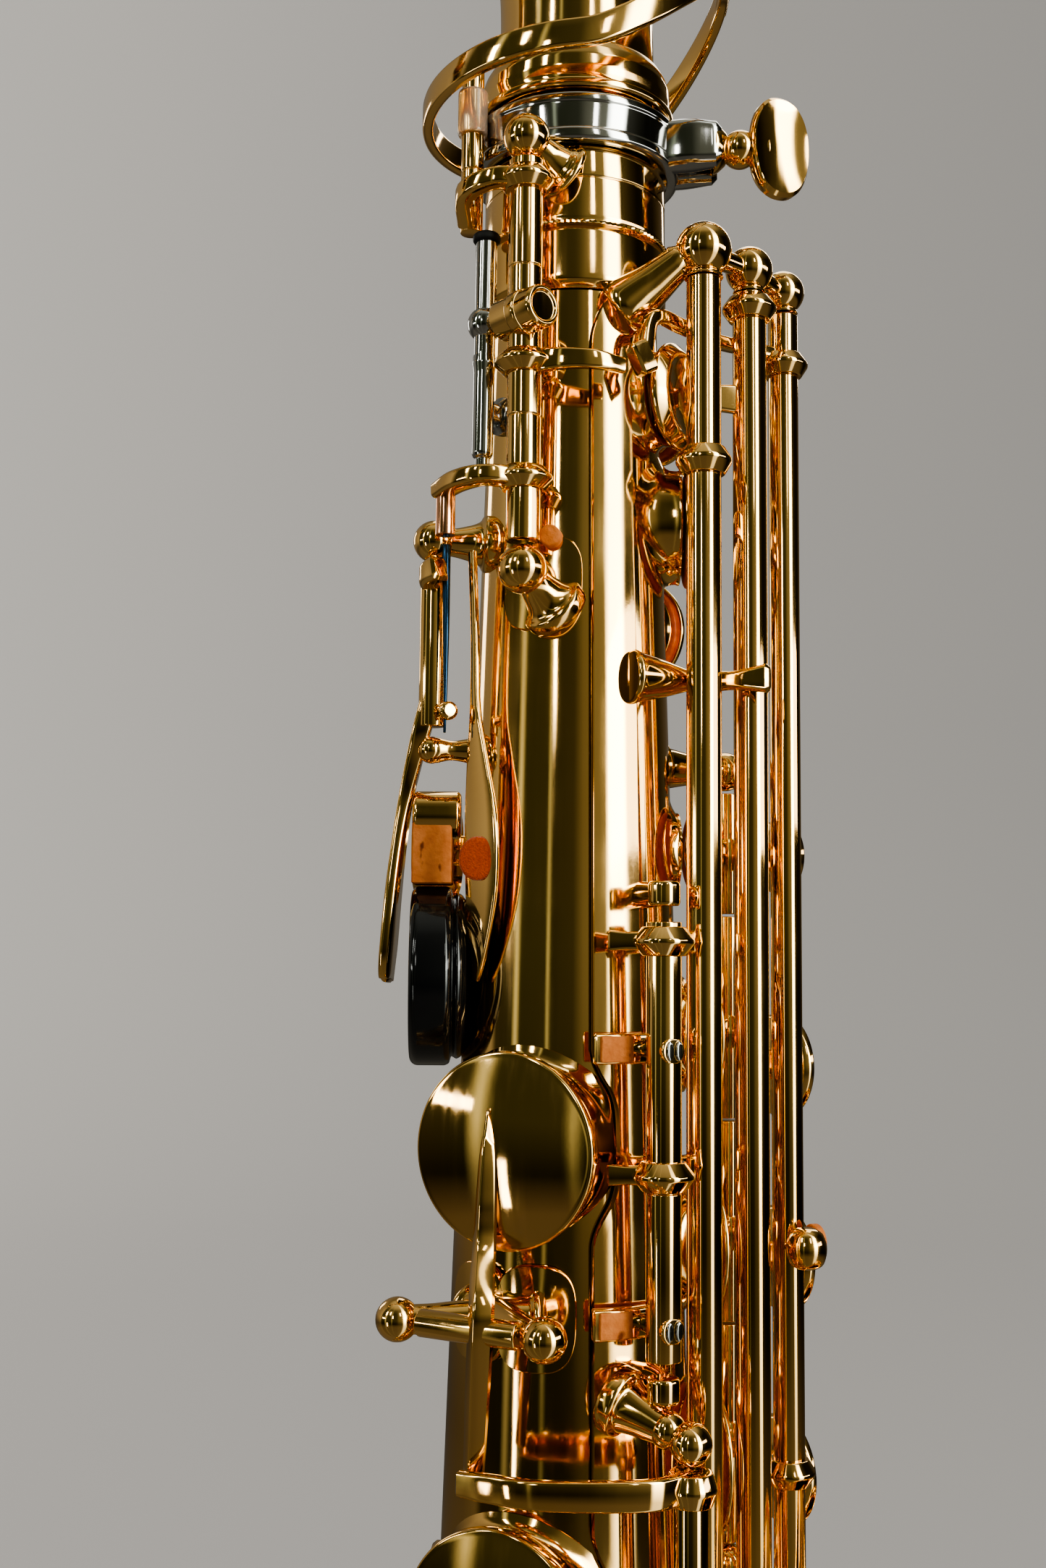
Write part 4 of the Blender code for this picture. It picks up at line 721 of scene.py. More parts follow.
def ring_band(name, centre_y, z, inner, height):
    """Bevelled joining ring round a tube."""
    half = height / 2
    outer = inner + 2.1
    profile = [(inner, -half), (inner + 1.2, -half), (outer - 0.2, -half + 1.4), (outer - 0.2, -1.6),
        (outer, -1.2), (outer, 1.2), (outer - 0.2, 1.6), (outer - 0.2, half - 1.4),
        (inner + 1.2, half), (inner, half)]
    build(name, "body", brass=[turned(profile, shift(0, centre_y, z), 160, ring=True, soft=0.35)])


def bell_brace():
    z = -190
    near = AXIS_Y - tube_radius(z) - 0.5
    far = BELL_Y + bell_radius(z) + 0.5
    centre = Vector((8, (near + far) / 2 - 2, z))
    parts = [turned([(6.6, -1.3), (9.2, -1.3), (9.2, 1.3), (6.6, 1.3)], aim(centre, TO_LEFT), 72,
        ring=True, soft=0.6)]
    for end, way in ((Vector((8, near + 1.4, z)), 1), (Vector((8, far + 0.3, z)), -1)):
        reach = Vector((8, centre.y + 8 * way, z))
        run = (reach - end).length
        parts.append(turned([(5, 0.6), (4.6, 1.6), (2.8, 2.6), (2.1, run * 0.7), (2.1, run)],
            aim(end, reach - end), 44, soft=0.6))
    build("bell_brace", "body", brass=parts)


def knurl(radius, low, high, depth, count):
    """Thin flange with fine teeth round its edge."""
    points, faces = turned([(radius - 1.5, low), (radius, low + 0.15), (radius, high - 0.15),
        (radius - 1.5, high)], shift(0, AXIS_Y, 0), count * 2, ring=True, soft=0.05)
    for k, p in enumerate(points):
        away = math.hypot(p[0], p[1] - AXIS_Y)
        if away > radius - 0.4 and k % 2:
            share = (away - depth) / away
            points[k] = (p[0] * share, AXIS_Y + (p[1] - AXIS_Y) * share, p[2])
    return points, faces


def neck_receiver():
    at = shift(0, AXIS_Y, 0)
    profile = [(12.15, 187.35), (12.5, 187.35), (13.35, 188.3), (13.45, 189), (13.45, 195.5), (13.2, 196),
        (13.2, 197.2), (13.3, 197.6), (13.3, 203.2), (13.15, 203.4), (13.3, 203.6), (13.3, 207.2),
        (13.2, 207.4), (13.2, 215.4), (12.15, 215.4)]
    parts = [turned(profile, at, 160, ring=True, soft=0.2), knurl(13.9, 196.15, 196.85, 0.2, 110)]
    foot = aim(polar(172, 12.9, 203.6), polar(157, 18.5, 206.8) - polar(172, 12.9, 203.6))
    parts.append(turned([(4.4, 0.1), (4.4, 0.9), (3.7, 1.2), (3.5, 1.6), (3.1, 1.9), (2.5, 3.6), (1.9, 6.4)],
        foot, 48, soft=0.4))
    parts.append(ball(polar(157, 18.5, 206.9), 3.25))
    build("neck_receiver", "body", brass=parts)


def receiver_clamp():
    at = shift(0, AXIS_Y, 0)
    parts = [turned([(13.55, 207.9), (14.9, 207.9), (15.3, 208.3), (15.3, 209.4), (15.1, 209.7),
        (15.1, 213.4), (15.3, 213.7), (15.3, 214.6), (14.9, 215), (13.55, 215)], at, 160,
        ring=True, soft=0.2)]
    for x, wide in ((-6.6, 5), (-0.6, 3.6)):
        parts.append(strip([Vector((x + 1.5, AXIS_Y - 11, CLAMP_Z)), Vector((x + 0.6, AXIS_Y - 16, CLAMP_Z)),
            Vector((x, AXIS_Y - 20.3, CLAMP_Z))], [6.9, 6.9, 6.4],
            [wide * 0.8, wide, wide * 0.72], UP, corner=1.3))
    screws = [turned([(3.6, -0.2), (3.2, 0.6), (2.2, 1.7)],
        aim(Vector((-5, AXIS_Y - 20.2, CLAMP_Z)), -TO_PLAYER), 40, soft=0.3)]
    build("receiver_clamp", "body", nickel=parts, brass=screws)


def receiver_screw():
    def at(y):
        return Vector((-5, AXIS_Y - y, CLAMP_Z))

    parts = [rod(at(21.6), at(23), 1.6), ball(at(23.9), 2.75), rod(at(24), at(28.2), 1.45, 1.8)]
    face = aim(at(29.4), Vector((-0.92, -0.38, 0)), UP)
    parts.append(turned([(0, -1.5), (0.5, -1.6), (0.86, -1.5), (1, -0.2), (1, 0.9), (0.93, 1.5), (0.7, 1.15),
        (0.35, 0.85), (0, 0.75)], face, 72, soft=0, shape=(7.5, 4.7, 2.3)))
    build_moving("receiver_screw", brass=parts)


def strap_ring():
    parts = [plate_on_tube(90, 0, 5.6, 13, 0.1, 1.2, 4)]
    base = tube_radius(0) + 1
    stem = aim(polar(90, base, 0), TO_PLAYER)
    parts.append(turned([(4.4, -0.2), (3.6, 0.7), (2.4, 2.2), (1.9, 4.5), (2.2, 27 - base - 4.6)],
        stem, 44, soft=0.5))
    loop = [(4.9 + 1.3 * math.cos(a), 1.3 * math.sin(a)) for a in [2 * math.pi * k / 16 for k in range(16)]]
    parts.append(turned(loop, aim(Vector((0, 0, 0)), TO_LEFT), 64, ring=True, soft=0))
    for z in (9.6, -9.6):
        parts.append(turned([(1.5, 0.2), (1.5, 0.5), (0.9, 0.75)], facing(90, base + 0.1, z), 24, soft=0.15))
    build("strap_ring", "body", brass=parts)


def thumb_rest():
    at = facing(92, tube_radius(91) + GAP, 91)
    rest = [(8, -0.9), (10.6, -0.5), (11.4, 0.1), (11.7, 0.7), (11.4, 1.2), (11.3, 1.4), (12.3, 1.7),
        (12.6, 2.3), (12.6, 6)]
    rest += [(11.4 + 1.2 * math.cos(math.radians(t)), 6.1 + 1.2 * math.sin(math.radians(t)))
        for t in range(0, 91, 15)]
    rest += [(9, 7.3), (6, 7.1), (3, 7), (0, 6.9)]
    build("thumb_rest", "body", plastic=[turned(rest, at, 160, soft=0.2)])


def thumb_hook():
    z = -95
    seat = tube_radius(z)
    side = sideways(95)
    parts = [plate_on_tube(95, z, 6, 15, 0.5, 1.2, 4)]
    parts.append(strip([polar(95, seat + 1, z), polar(95, seat + 6, z + 1.2), polar(95, seat + 11, z + 0.6),
        polar(95, seat + 16.4, z - 2.8), polar(95, seat + 18.6, z - 8), polar(95, seat + 19, z - 15)],
        [9, 11, 13, 13, 13, 12], 2, side, corner=0.8))
    for dz in (-11, 11):
        parts.append(turned([(1.7, 0), (1.7, 0.5), (1, 0.9)], facing(95, seat + 1.7, z + dz), 24, soft=0.2))
    build("thumb_hook", "body", brass=parts)


def rib_edge(z):
    """Angle of the rib's edge: it steps back round the side tone holes."""
    edge = RIB_LEFT
    for centre in (68.7, 9):
        reach = SIDE_HOLE_CLEARANCE ** 2 - (z - centre) ** 2
        if reach > 0:
            bow_out = 154 + math.degrees(math.sqrt(reach) / (tube_radius(z) + 0.8))
            edge = max(edge, min(bow_out, 201))
    return edge


def right_rib():
    rings = []
    heights = [RIB_BOTTOM + (RIB_TOP - RIB_BOTTOM) * k / 260 for k in range(261)]
    smooth = [sum(rib_edge(z + d) for d in (-2, -1, 0, 1, 2)) / 5 for z in heights]
    for z, left in zip(heights, smooth):
        end = max(0, 1 - ((RIB_TOP - z) / 7)) ** 2 * 10.5
        low, right = left + end, RIB_RIGHT - end
        under, over = tube_radius(z) + 0.5, tube_radius(z) + 1.6
        steps = [(low, under), (low - 0.3, (under + over) / 2), (low + 0.6, over)]
        steps += [(low + (right - low) * s, over) for s in (0.2, 0.4, 0.6, 0.8)]
        steps += [(right - 0.6, over), (right + 0.3, (under + over) / 2), (right, under)]
        steps += [(low + (right - low) * s, under) for s in (0.75, 0.5, 0.25)]
        rings.append(np.array([polar(a, r, z) for a, r in steps]))
    parts = [skin(rings)]
    start, end = polar(211, tube_radius(187) + 0.9, 184.8), polar(226, 19.6, 190.6)
    run = (end - start).length
    parts.append(turned([(4, -0.9), (4.2, 0.3), (3.9, 1.6), (3.1, run * 0.5), (2.3, run), (1.9, run + 1.2)],
        aim(start, end - start), 48, soft=1))
    parts.append(bar([(224, 18.8, 190.8), (232, 22, 191.8), (254, 25.9, 192.1), (272, 31, 192.1)],
        [3.6, 2.8, 2.6, 2.2], [3.4, 3, 2.8, 2.4], 1.1))
    for (angle, radius, _, _, _), size in ((ROD_E, 3.95), (ROD_FS, 3.4), (ROD_G, 3.2)):
        parts.append(ball(polar(angle, radius, LONG_BALL_Z), size, 48))
        parts.append(turned([(size * 0.72, 0), (size * 0.6, 0.9)],
            upright_at(angle, radius, LONG_BALL_Z - size - 0.1), 40, soft=0.3))
    build("right_rib", "body", brass=parts)


def rods_mid_post():
    z = 132
    start, end = polar(211, tube_radius(z) + 1.7, z), polar(243, 20.6, z)
    run = (end - start).length
    parts = [turned([(3.5, -0.5), (3.8, 0.1), (3.5, 0.8), (2.5, run * 0.45), (1.5, run * 0.75), (1.4, run)],
        aim(start, end - start), 56, soft=0.4)]
    parts.append(bar([(240, 19.6, z), (243.5, 24, z), (243.5, 29.4, z)], [4.2, 2.6, 4], 1.9, 0.7))
    build("rods_mid_post", "body", brass=parts)


def side_posts(name, z):
    """Two ball posts that a side cup hinges between."""
    centre = place(SIDE_HINGE, z)
    along = sideways(SIDE_HINGE[0])
    parts = [plate_on_tube(164, z, 5.2, 6.8, GAP, 1, 3), plate_on_tube(134, z, 4.6, 6.4, GAP, 1, 3)]
    for side, foot_angle in ((1, 133), (-1, 165)):
        end = centre + along * (side * 10.9)
        start = polar(foot_angle, tube_radius(z) + 0.9, z)
        run = (end - start).length
        parts.append(turned([(3.7, -0.3), (3.7, 0.5), (3, 0.9), (2.7, run * 0.4), (2, run * 0.75),
            (1.8, run)], aim(start, end - start), 44, soft=0.6))
        parts.append(ball(end, 2.85))
    build(name, "body", brass=parts)


def bridge_posts():
    for name, z in (("bridge_post_top", 102.2), ("bridge_post_low", 39.4)):
        end = place(BRIDGE_ROD, z)
        parts = [sweep([polar(216, tube_radius(z) + 0.6, z), polar(214, 21.6, z), end], [1.9, 1.5, 1.3], 28),
            turned([(1.9, -1.6), (2.1, -1.2), (2.1, 1.2), (1.9, 1.6)], shift(*end), 40, soft=0.3)]
        build(name, "body", brass=parts)
    for name, z in (("side_c_post_top", 33.6), ("side_c_post_low", -49)):
        start, end = polar(199.5, tube_radius(z) + 2, z + 3.6), place(SIDE_C_ROD, z)
        build(name, "body", brass=post_between(start, end, 3.5, 1.5,
            2.7) + [ball(start.lerp(end, 0.68), 2.4)])


def bell_key_guard():
    x = GUARD_X
    y = BELL_Y - 4
    top, low = bell_radius(-72) - 0.4, bell_radius(-178) - 0.4
    parts = [strip([Vector((top, y, -71)), Vector((top + 7, y, -71.6)), Vector((x - 2.4, y, -73.6)),
        Vector((x, y, -79)), Vector((x, y, -100)), Vector((x, y, -124)), Vector((x - 0.4, y, -150)),
        Vector((x - 1.2, y, -169)), Vector((x - 4, y, -175.6)), Vector((low + 7, y, -177.6)),
        Vector((low, y, -178.4))], 5, 2.3, TO_PLAYER, corner=0.9)]
    for z, edge in ((-71, top), (-178.4, low)):
        parts.append(turned([(5.4, -0.6), (5.4, 0.8), (4.6, 1.2)],
            aim(Vector((edge, y, z)), TO_LEFT), 40, soft=0.3))
    for z in (-96, -150):
        at = aim(Vector((x - 2.6, y, z)), TO_LEFT)
        parts.append(turned([(3.2, 0), (3.2, 3.6), (2.4, 4.4), (1, 4.5)], at, 32, soft=0.3))
    build("bell_key_guard", "body", brass=parts, felt=[turned([(2.6, -1.6), (2.6, 0.4)],
        aim(Vector((x - 2.6, y, z)), TO_LEFT), 32, soft=0.4) for z in (-96, -150)])


# ---------------------------------------------------------------- neck and mouthpiece
NECK_PATH = [(0, 222), (0, 234), (1.2, 243), (4.8, 252), (11, 260.5), (20, 268.5), (33, 276), (50, 282),
    (72, 285.5), (95, 285.8), (118, 282.8), (140, 277)]
NECK = [Vector((0, AXIS_Y + y, z)) for y, z in NECK_PATH]


def neck_end():
    """The neck's end and its direction there."""
    return NECK[-1], (NECK[-1] - NECK[-2]).normalized()


def neck():
    run = [0]
    for a, b in zip(NECK, NECK[1:]):
        run.append(run[-1] + (b - a).length)
    outer = [11.7 - 5.5 * d / run[-1] for d in run]
    at = shift(0, AXIS_Y, 0)
    parts = [pipe(NECK, outer, [r - 1.1 for r in outer], 96, 8)]
    parts.append(turned([(10.4, 190.5), (11.9, 190.5), (11.9, 215.9), (14.4, 216.1), (14.7, 216.4),
        (14.7, 217.2), (14.4, 217.5), (13.7, 217.7), (13.75, 218.4), (14, 219.6), (14, 221.2), (13.6, 222.6),
        (12.9, 223.8), (12.2, 224.4), (11.6, 224.7), (10.4, 224.3)], at, 160, ring=True, soft=0.2))
    for side in (-1, 1):
        base = NECK[6] + Vector((7.5 * side, 0, 6))
        parts += post_between(base - Vector((1.5 * side, 0, 1)),
            NECK[6] + Vector((7.5 * side, 1.5, 12.5)), 2.4, 1.6, 2.4)
    brace = [NECK[3] + Vector((0, 9.6, -4.6)), NECK[4] + Vector((0, 9.2, -8.4)),
        NECK[5] + Vector((0, 9, -11)), NECK[6] + Vector((0, 5.6, -11.2)), NECK[7] + Vector((0, 1, -9.6))]
    parts.append(sweep(brace, [1.3, 1.6, 1.7, 1.6, 1.2]))
    end, ahead = neck_end()
    parts.append(turned([(5, -1.2), (6.9, -1.2), (6.9, -0.2), (5, 0)], aim(end, ahead), 64,
        ring=True, soft=0.3))
    vent = NECK[8] + Vector((0, 2, 7.4))
    parts.append(turned([(3, 0), (2.2, 0.9), (2, 4.2), (1.7, 4.4)], shift(*vent), 36, soft=0.3))
    build("neck_tube", "neck", brass=parts)
    build("neck_cork", "neck", cork=[turned([(6.3, 0), (7.3, 0), (7.9, 0.7), (7.9, 21.2), (7.3, 22),
        (6.3, 22)], aim(end - ahead * 22, ahead), 80, ring=True, soft=0.4)])


def mouthpiece():
    end, ahead = neck_end()
    at = aim(end - ahead * 13, ahead)
    a = np.arange(72) * 2 * math.pi / 72

    def ring(z, radius, top=99, low=-99):
        up = np.clip(radius * np.cos(a), low, top)
        return np.column_stack((up, radius * np.sin(a), np.full(72, z)))

    rings = [ring(24, 8.2), ring(0.6, 8.2), ring(0, 8.8), ring(0, 12), ring(0.6, 12.6), ring(7.6, 12.6),
        ring(8.4, 12.2), ring(8.8, 11.7), ring(9.4, 11.6), ring(36, 11.3), ring(38.6, 11.25, 99, -9)]
    for k in range(26):
        z = 40 + 48 * k / 25
        radius = 11.2 - 0.9 * (z - 40) / 20 if z < 60 else 10.3 - 4.1 * (z - 60) / 28
        wide = max(radius, 8.2)
        top = 10.4 - 14.6 * max(0, z - 46) / 42
        low = -9.2 + 3.6 * max(0, (z - 62) / 26)
        rings.append(ring(z, wide, max(top, low + 1.4), low))
    build_moving("mouthpiece", ebonite=[(placed(np.vstack(rings), at), skin(rings)[1])],
        brass=[turned([(12.5, 1.6), (12.85, 1.9), (12.85, 6.6), (12.5, 6.9)], at, 96, ring=True, soft=0.2)])
    sections = []
    for k in range(31):
        z = 41 + 45 * k / 30
        thick = 1.9 if z < 56 else 1.9 - 1.72 * (z - 56) / 30
        half = 5.6 + 0.8 * (z - 41) / 45
        lift = 3.4 * max(0, (z - 62) / 26)
        face = -9.35 + lift
        outline = [(face, half), (face, -half)]
        outline += [(face - thick * math.sqrt(max(0, 1 - (0.86 * t) ** 2)), half * t)
            for t in (-0.97, -0.8, -0.5, 0, 0.5, 0.8, 0.97)]
        sections.append(np.array([(u, s, z) for u, s in outline]))
    build("reed", "mouthpiece_body", cane=[(placed(np.vstack(sections), at), skin(sections)[1])])
    at = aim(end + ahead * 27, ahead)
    band = turned([(12.75, 0), (13.6, 0), (13.9, 0.5), (13.5, 1.4), (13.4, 16.6), (13.8, 17.5), (13.5, 18),
        (12.6, 18)], at, 96, ring=True, soft=0.25)
    down = at.to_3x3() @ -TO_LEFT
    screws = []
    for run in (4.5, 13.5):
        base = at @ Vector((0, 0, run))
        screws.append(rod(base + down * 13, base + down * 21, 1.7))
        screws.append(turned([(2.4, 0), (2.4, 3.4), (1.9, 3.8)],
            aim(base + down * 12.4, down), 32, soft=0.3))
        screws.append(turned([(2.4, 0), (3.4, 0.6), (3.4, 6.2), (2.6, 7)],
            aim(base + down * 19, down), 48, soft=0.3))
    build("ligature", "mouthpiece_body", brass=[band] + screws)


def neck_octave_key():
    loop = []
    for k in range(61):
        angle = 275 - 6 * k
        lean = math.sin(math.radians(angle))
        z = LOOP_Z - 2 * max(0, lean) + LOOP_RISE * max(0, -lean) ** 1.6
        loop.append(polar(angle, LOOP_RADIUS, z))
    parts = [strip(loop, 4, 1.6, UP, steps=3, corner=0.5)]
    top = NECK[6] + Vector((0, 1.5, 12.5))
    parts.append(turned([(2, -4.6), (2, -1), (2.2, -0.8), (2.2, 0.8), (2, 1), (2, 4.6)],
        aim(top, TO_LEFT), 40, soft=0.2))
    parts.append(strip([Vector((0, AXIS_Y - 22, 236.8)), Vector((0, AXIS_Y - 22.4, 244)),
        Vector((0, AXIS_Y - 20, 254)), Vector((0, AXIS_Y - 9, 270)), Vector((0, AXIS_Y + 12, 284)), top,
        NECK[8] + Vector((0, 0, 15.2)), NECK[8] + Vector((0, 4, 14.2))],
        [7, 4.6, 4.2, 4.4, 4.8, 4.8, 4.2, 3.2], 1.8, TO_LEFT, steps=8, corner=0.6))
    pad_at = NECK[8] + Vector((0, 2, 11.8))
    parts.append(turned([(3, 1.6), (3.6, 1.9), (3.6, 2.8), (2, 3.6)], shift(*pad_at), 40, soft=0.3))
    build_moving("neck_octave_key", brass=parts, cork=[turned([(3, 0.25), (3.2, 0.6), (3.2, 1.8)],
        shift(*pad_at), 36, soft=0.2)])


# ---------------------------------------------------------------- key parts
def key_cup(angle, z, r, seat, depth, dished=False):
    """Brass cup and its leather pad over a tone hole; returns (brass parts, leather parts)."""
    at = facing(angle, seat, z)
    top = [(r * 0.86, depth * 0.78), (r * 0.5, depth * 0.97), (0, depth)]
    if dished:
        top = [(r * 0.8, depth), (r * 0.62, depth * 0.82), (r * 0.3, depth * 0.66), (0, depth * 0.62)]
    rim = [(0, 1), (r - 0.7, 1), (r - 0.15, 0.9), (r, 1.15), (r, max(1.6, depth * 0.55))]
    brass = [turned(rim + top, at, 88, soft=0.45)]
    brass.append(turned([(0, -0.5), (r * 0.22, -0.45), (r * 0.42, -0.1), (r * 0.44, 0.3)], at, 48, soft=0.1))
    leather = [turned([(0, 0.05), (r - 1.7, 0.05), (r - 0.85, 0.4), (r - 0.75, 1.2)], at, 88, soft=0.35)]
    return brass, leather


def arm_to_cup(rod_place, angle, z, seat, depth, width=4.4):
    """Arm from a rod to the crown of a cup."""
    start = place(rod_place, z)
    crown = polar(angle, seat + depth - 0.4, z)
    middle = (start + crown) / 2 + outward((rod_place[0] + angle) / 2) * 0.5
    ahead = (crown - start).normalized()
    return [strip([start, middle, crown, crown + ahead * 2.4],
        [width * 1.05, width * 0.9, width * 0.72, width * 0.5], [1.9, 1.6, 1.4, 1.1], UP, corner=0.5)]


def pearl_touch(angle, radius, z, size):
    """Pearl in a brass holder, returned as (brass parts, pearl parts)."""
    at = facing(angle, radius, z)
    brass = [turned([(size * 0.5, -1.7), (size * 0.96, -0.7), (size * 1.02, 0.2), (size * 1.02, 1.1),
        (size * 0.93, 1.25), (size * 0.9, 0.9)], at, 72, soft=0.25)]
    pearl = [turned([(size * 0.9, 0.4), (size * 0.9, 1.15), (size * 0.82, 1.45), (size * 0.5, 1.25),
        (0, 1)], at, 64, soft=0.3)]
    return brass, pearl


def touch(angle, radius, z, width, height, thick=2.2):
    """Crowned side touch with a rounded outline."""
    at = facing(angle, radius, z)
    t = thick / 2
    rows = [(0, -t), (0.6, -t), (0.93, -t), (1, -t * 0.3), (0.97, t * 0.5), (0.88, t * 0.85), (0.6, t * 1.2),
        (0.3, t * 1.35), (0, t * 1.4)]
    return [turned(rows, at, 72, soft=0, shape=(height / 2, width / 2, 3.2))]


def place(rod_place, z):
    """Position on a rod at a height."""
    return polar(rod_place[0], rod_place[1], z)


# ---------------------------------------------------------------- octave work
def octave_rocker():
    a, r = OCTAVE_ROD
    parts = [upright(a, r, 203.4, 149.8, 2.4, (188, 167), 56)]
    for z, grow in ((200.6, 1.62), (174.6, 1.75), (158.4, 1.7)):
        parts.append(collar(polar(a, r, z), 2.4, 1.6, grow))
    parts.append(bar([(157, 18.5, 200.8), (147, 21.4, 200.6), (134, 21.8, 199.8), (122, 18.6, 198.4)],
        [3.2, 2.6, 2.8, 3.6], [3, 2.6, 2.4, 2.4], 0.6))
    parts.append(upright(119, 17.2, 223, 196.8, 1.6, (206,)))
    parts.append(bar([(157, 18.5, 174.6), (172, 19.6, 174.5), (187, 19.9, 174.3), (199, 19.2, 174)],
        [3.6, 3, 2.6, 2.2], [1.8, 1.5, 1.4, 1.2], 0.45))
    parts.append(bar([(157, 18.5, 158.4), (147, 22.6, 158.4), (136, 23.2, 158.2), (124, 22.6, 157.8)],
        [2.6, 2.4, 2.4, 2.2], [3.4, 3.6, 3.4, 3], 0.6))
    boss = Vector((-0.75, -0.66, 0))
    centre = polar(159, 20.4, 181)
    parts.append(turned([(2.5, -4.6), (2.9, -4.2), (2.9, 3.6), (2.6, 4), (2.2, 4), (2, 3.7)],
        aim(centre, boss), 48, soft=0.25))
    parts.append(turned([(2.95, -1), (3.15, -0.7), (3.15, 0.7), (2.95, 1)], aim(centre, boss), 48, soft=0.2))
    pin = [upright(126, 22.2, 158.4, 151.5, 1.35)]
    sleeve = [turned([(2.05, 211.4), (2.15, 211.8), (2.15, 217.6), (2.05, 218)],
        upright_at(119, 17.2, 0), 40, soft=0.2)]
    build_moving("octave_rocker", brass=parts, copper=pin, sleeve=sleeve)


def octave_thumb_lever():
    a, r = THUMB_ROD
    parts = [upright(a, r, 149, 125.8, 1.9, (), 44)]
    parts.append(bar([(a, r, 146.6), (113, 22.2, 147), (119, 21.6, 147.5)], [3.8, 3.2, 3.6],
        [3.2, 2.6, 3], 0.7))
    side = sideways(90)
    rows = ((a, r, 131, 2.2, 2.6), (105, 21.8, 126, 3, 2.6), (100, 22.7, 121, 3.8, 2.2),
        (95, 23.6, 116, 6, 1.8), (92, 24.4, 110.5, 9.4, 1.6), (90, 25.2, 103, 12.6, 1.6),
        (88, 25.9, 94.5, 14, 1.6), (87, 26.1, 91.2, 12, 1.4), (87, 26.1, 90.2, 8, 1.1))
    parts.append(strip([polar(x, y, z) for x, y, z, _, _ in rows], [w for _, _, _, w, _ in rows],
        [t for _, _, _, _, t in rows], side, corner=0.5))
    cork = [strip([Vector((-1.5, AXIS_Y + 19.6, 112.2)), Vector((-1.5, AXIS_Y + 19.6, 104))], 8,
        5.6, side, corner=0.3)]
    parts.append(turned([(2.9, -3.4), (3.4, -3), (3.4, 3), (2.9, 3.4)],
        aim(Vector((-2.5, AXIS_Y + 19, 113.6)), TO_PLAYER), 40, soft=0.4))
    build_moving("octave_thumb_lever", brass=parts, cork=cork)


def thumb_work():
    """Fixed bits beside the thumb lever: needle spring, cradle and the felted leaf."""
    spring = [sweep([polar(116, 20, 151), polar(117, 20, 138), polar(118, 20.2, 124.6)],
        [0.62, 0.42, 0.18], 16)]
    make("thumb_spring", "blued", spring, "body")
    cradle = [turned([(0.9, -3), (1.35, -2.8), (1.35, -1.6), (0.8, -1.2), (0.8, 1), (1.3, 1.3), (1.3, 2.2),
        (0.9, 2.5)], aim(polar(114, 19.8, 127.6), sideways(114)), 32, soft=0.15)]
    leaf = [strip([polar(124, 17.2, 150), polar(126, 17, 138), polar(127, 17, 128), polar(130, 17.2, 121),
        polar(134, 17.4, 112), polar(134, 17.2, 103), polar(130, 16.8, 95), polar(127, 16.4, 90.6)],
        [1.3, 1.3, 1.8, 4, 6.6, 6.4, 4, 1.4], [0.9, 0.9, 0.9, 0.9, 0.9, 0.9, 0.8, 0.7],
        sideways(130), corner=0.3)]
    make("thumb_leaf", "brass", cradle + leaf, "body")
    at = aim(polar(134, 17.8, 107), outward(148))
    make("thumb_leaf_felt", "felt", [turned([(3, 0), (3, 0.55), (2.6, 0.8)], at, 48, soft=0.2)], "body")


def body_octave_key():
    a = 137
    low, top = polar(a, 19, 163), polar(a, 18.6, 194.5)
    run = (top - low).length
    at = aim(low, top - low)
    rows = [(1, -2.4), (1, -0.9), (1.3, -0.7), (1.5, -0.2), (1.5, run * 0.36), (1.7, run * 0.4),
        (1.5, run * 0.44), (1.5, run - 0.6), (1.3, run)]
    parts = [turned(rows, at, 44, soft=0.2), ball(low.lerp(top, 0.58), 2.45)]
    parts.append(strip([polar(a, 19.2, 169), polar(a, 16.6, 169), polar(a, 15, 169)], 2.2, 2.4,
        sideways(a), corner=0.5))
    parts.append(turned([(2.4, 0.4), (2.7, 0.7), (2.7, 1.9), (1.6, 2.5)],
        facing(a, 13.7, 169), 40, soft=0.2))
    washer = [turned([(1.45, run - 1.6), (1.95, run - 1.2), (1.95, run - 0.4),
        (1.45, run)], at, 40, soft=0.3)]
    pad = [turned([(2.2, -0.1), (2.4, 0.3), (2.4, 0.9)], facing(a, 13.7, 169), 36, soft=0.2)]
    build_moving("body_octave_key", nickel=parts, rubber=washer, cork=pad)


# ---------------------------------------------------------------- long keys on the right
def long_rod(place_at, lines=()):
    """Hinge tube of a long key on the right."""
    a, r, top, bottom, thick = place_at
    return upright(a, r, top, bottom, thick, lines, 56)


def high_e_key():
    a, r = ROD_E[:2]
    brass, leather = key_cup(268, 156, 9.6, 16, 3.6, True)
    parts = [long_rod(ROD_E), collar(polar(a, r, 162), 2.4, 1.9, 1.62)] + brass
    parts += arm_to_cup(ROD_E, 268, 156, 16, 3.6)
    parts.append(collar(polar(a, r, -6), 2.4, 2.4, 1.5))
    parts.append(bar([(a, r, -6), (222, 31.5, -6), (206, 34.4, -6), (186, 34.6, -7)],
        [4.6, 4.8, 5, 5.2], 1.8, 0.6))
    parts += touch(184, 34.6, -9, 11, 19)
    build_moving("high_e_key", brass=parts, leather=leather)


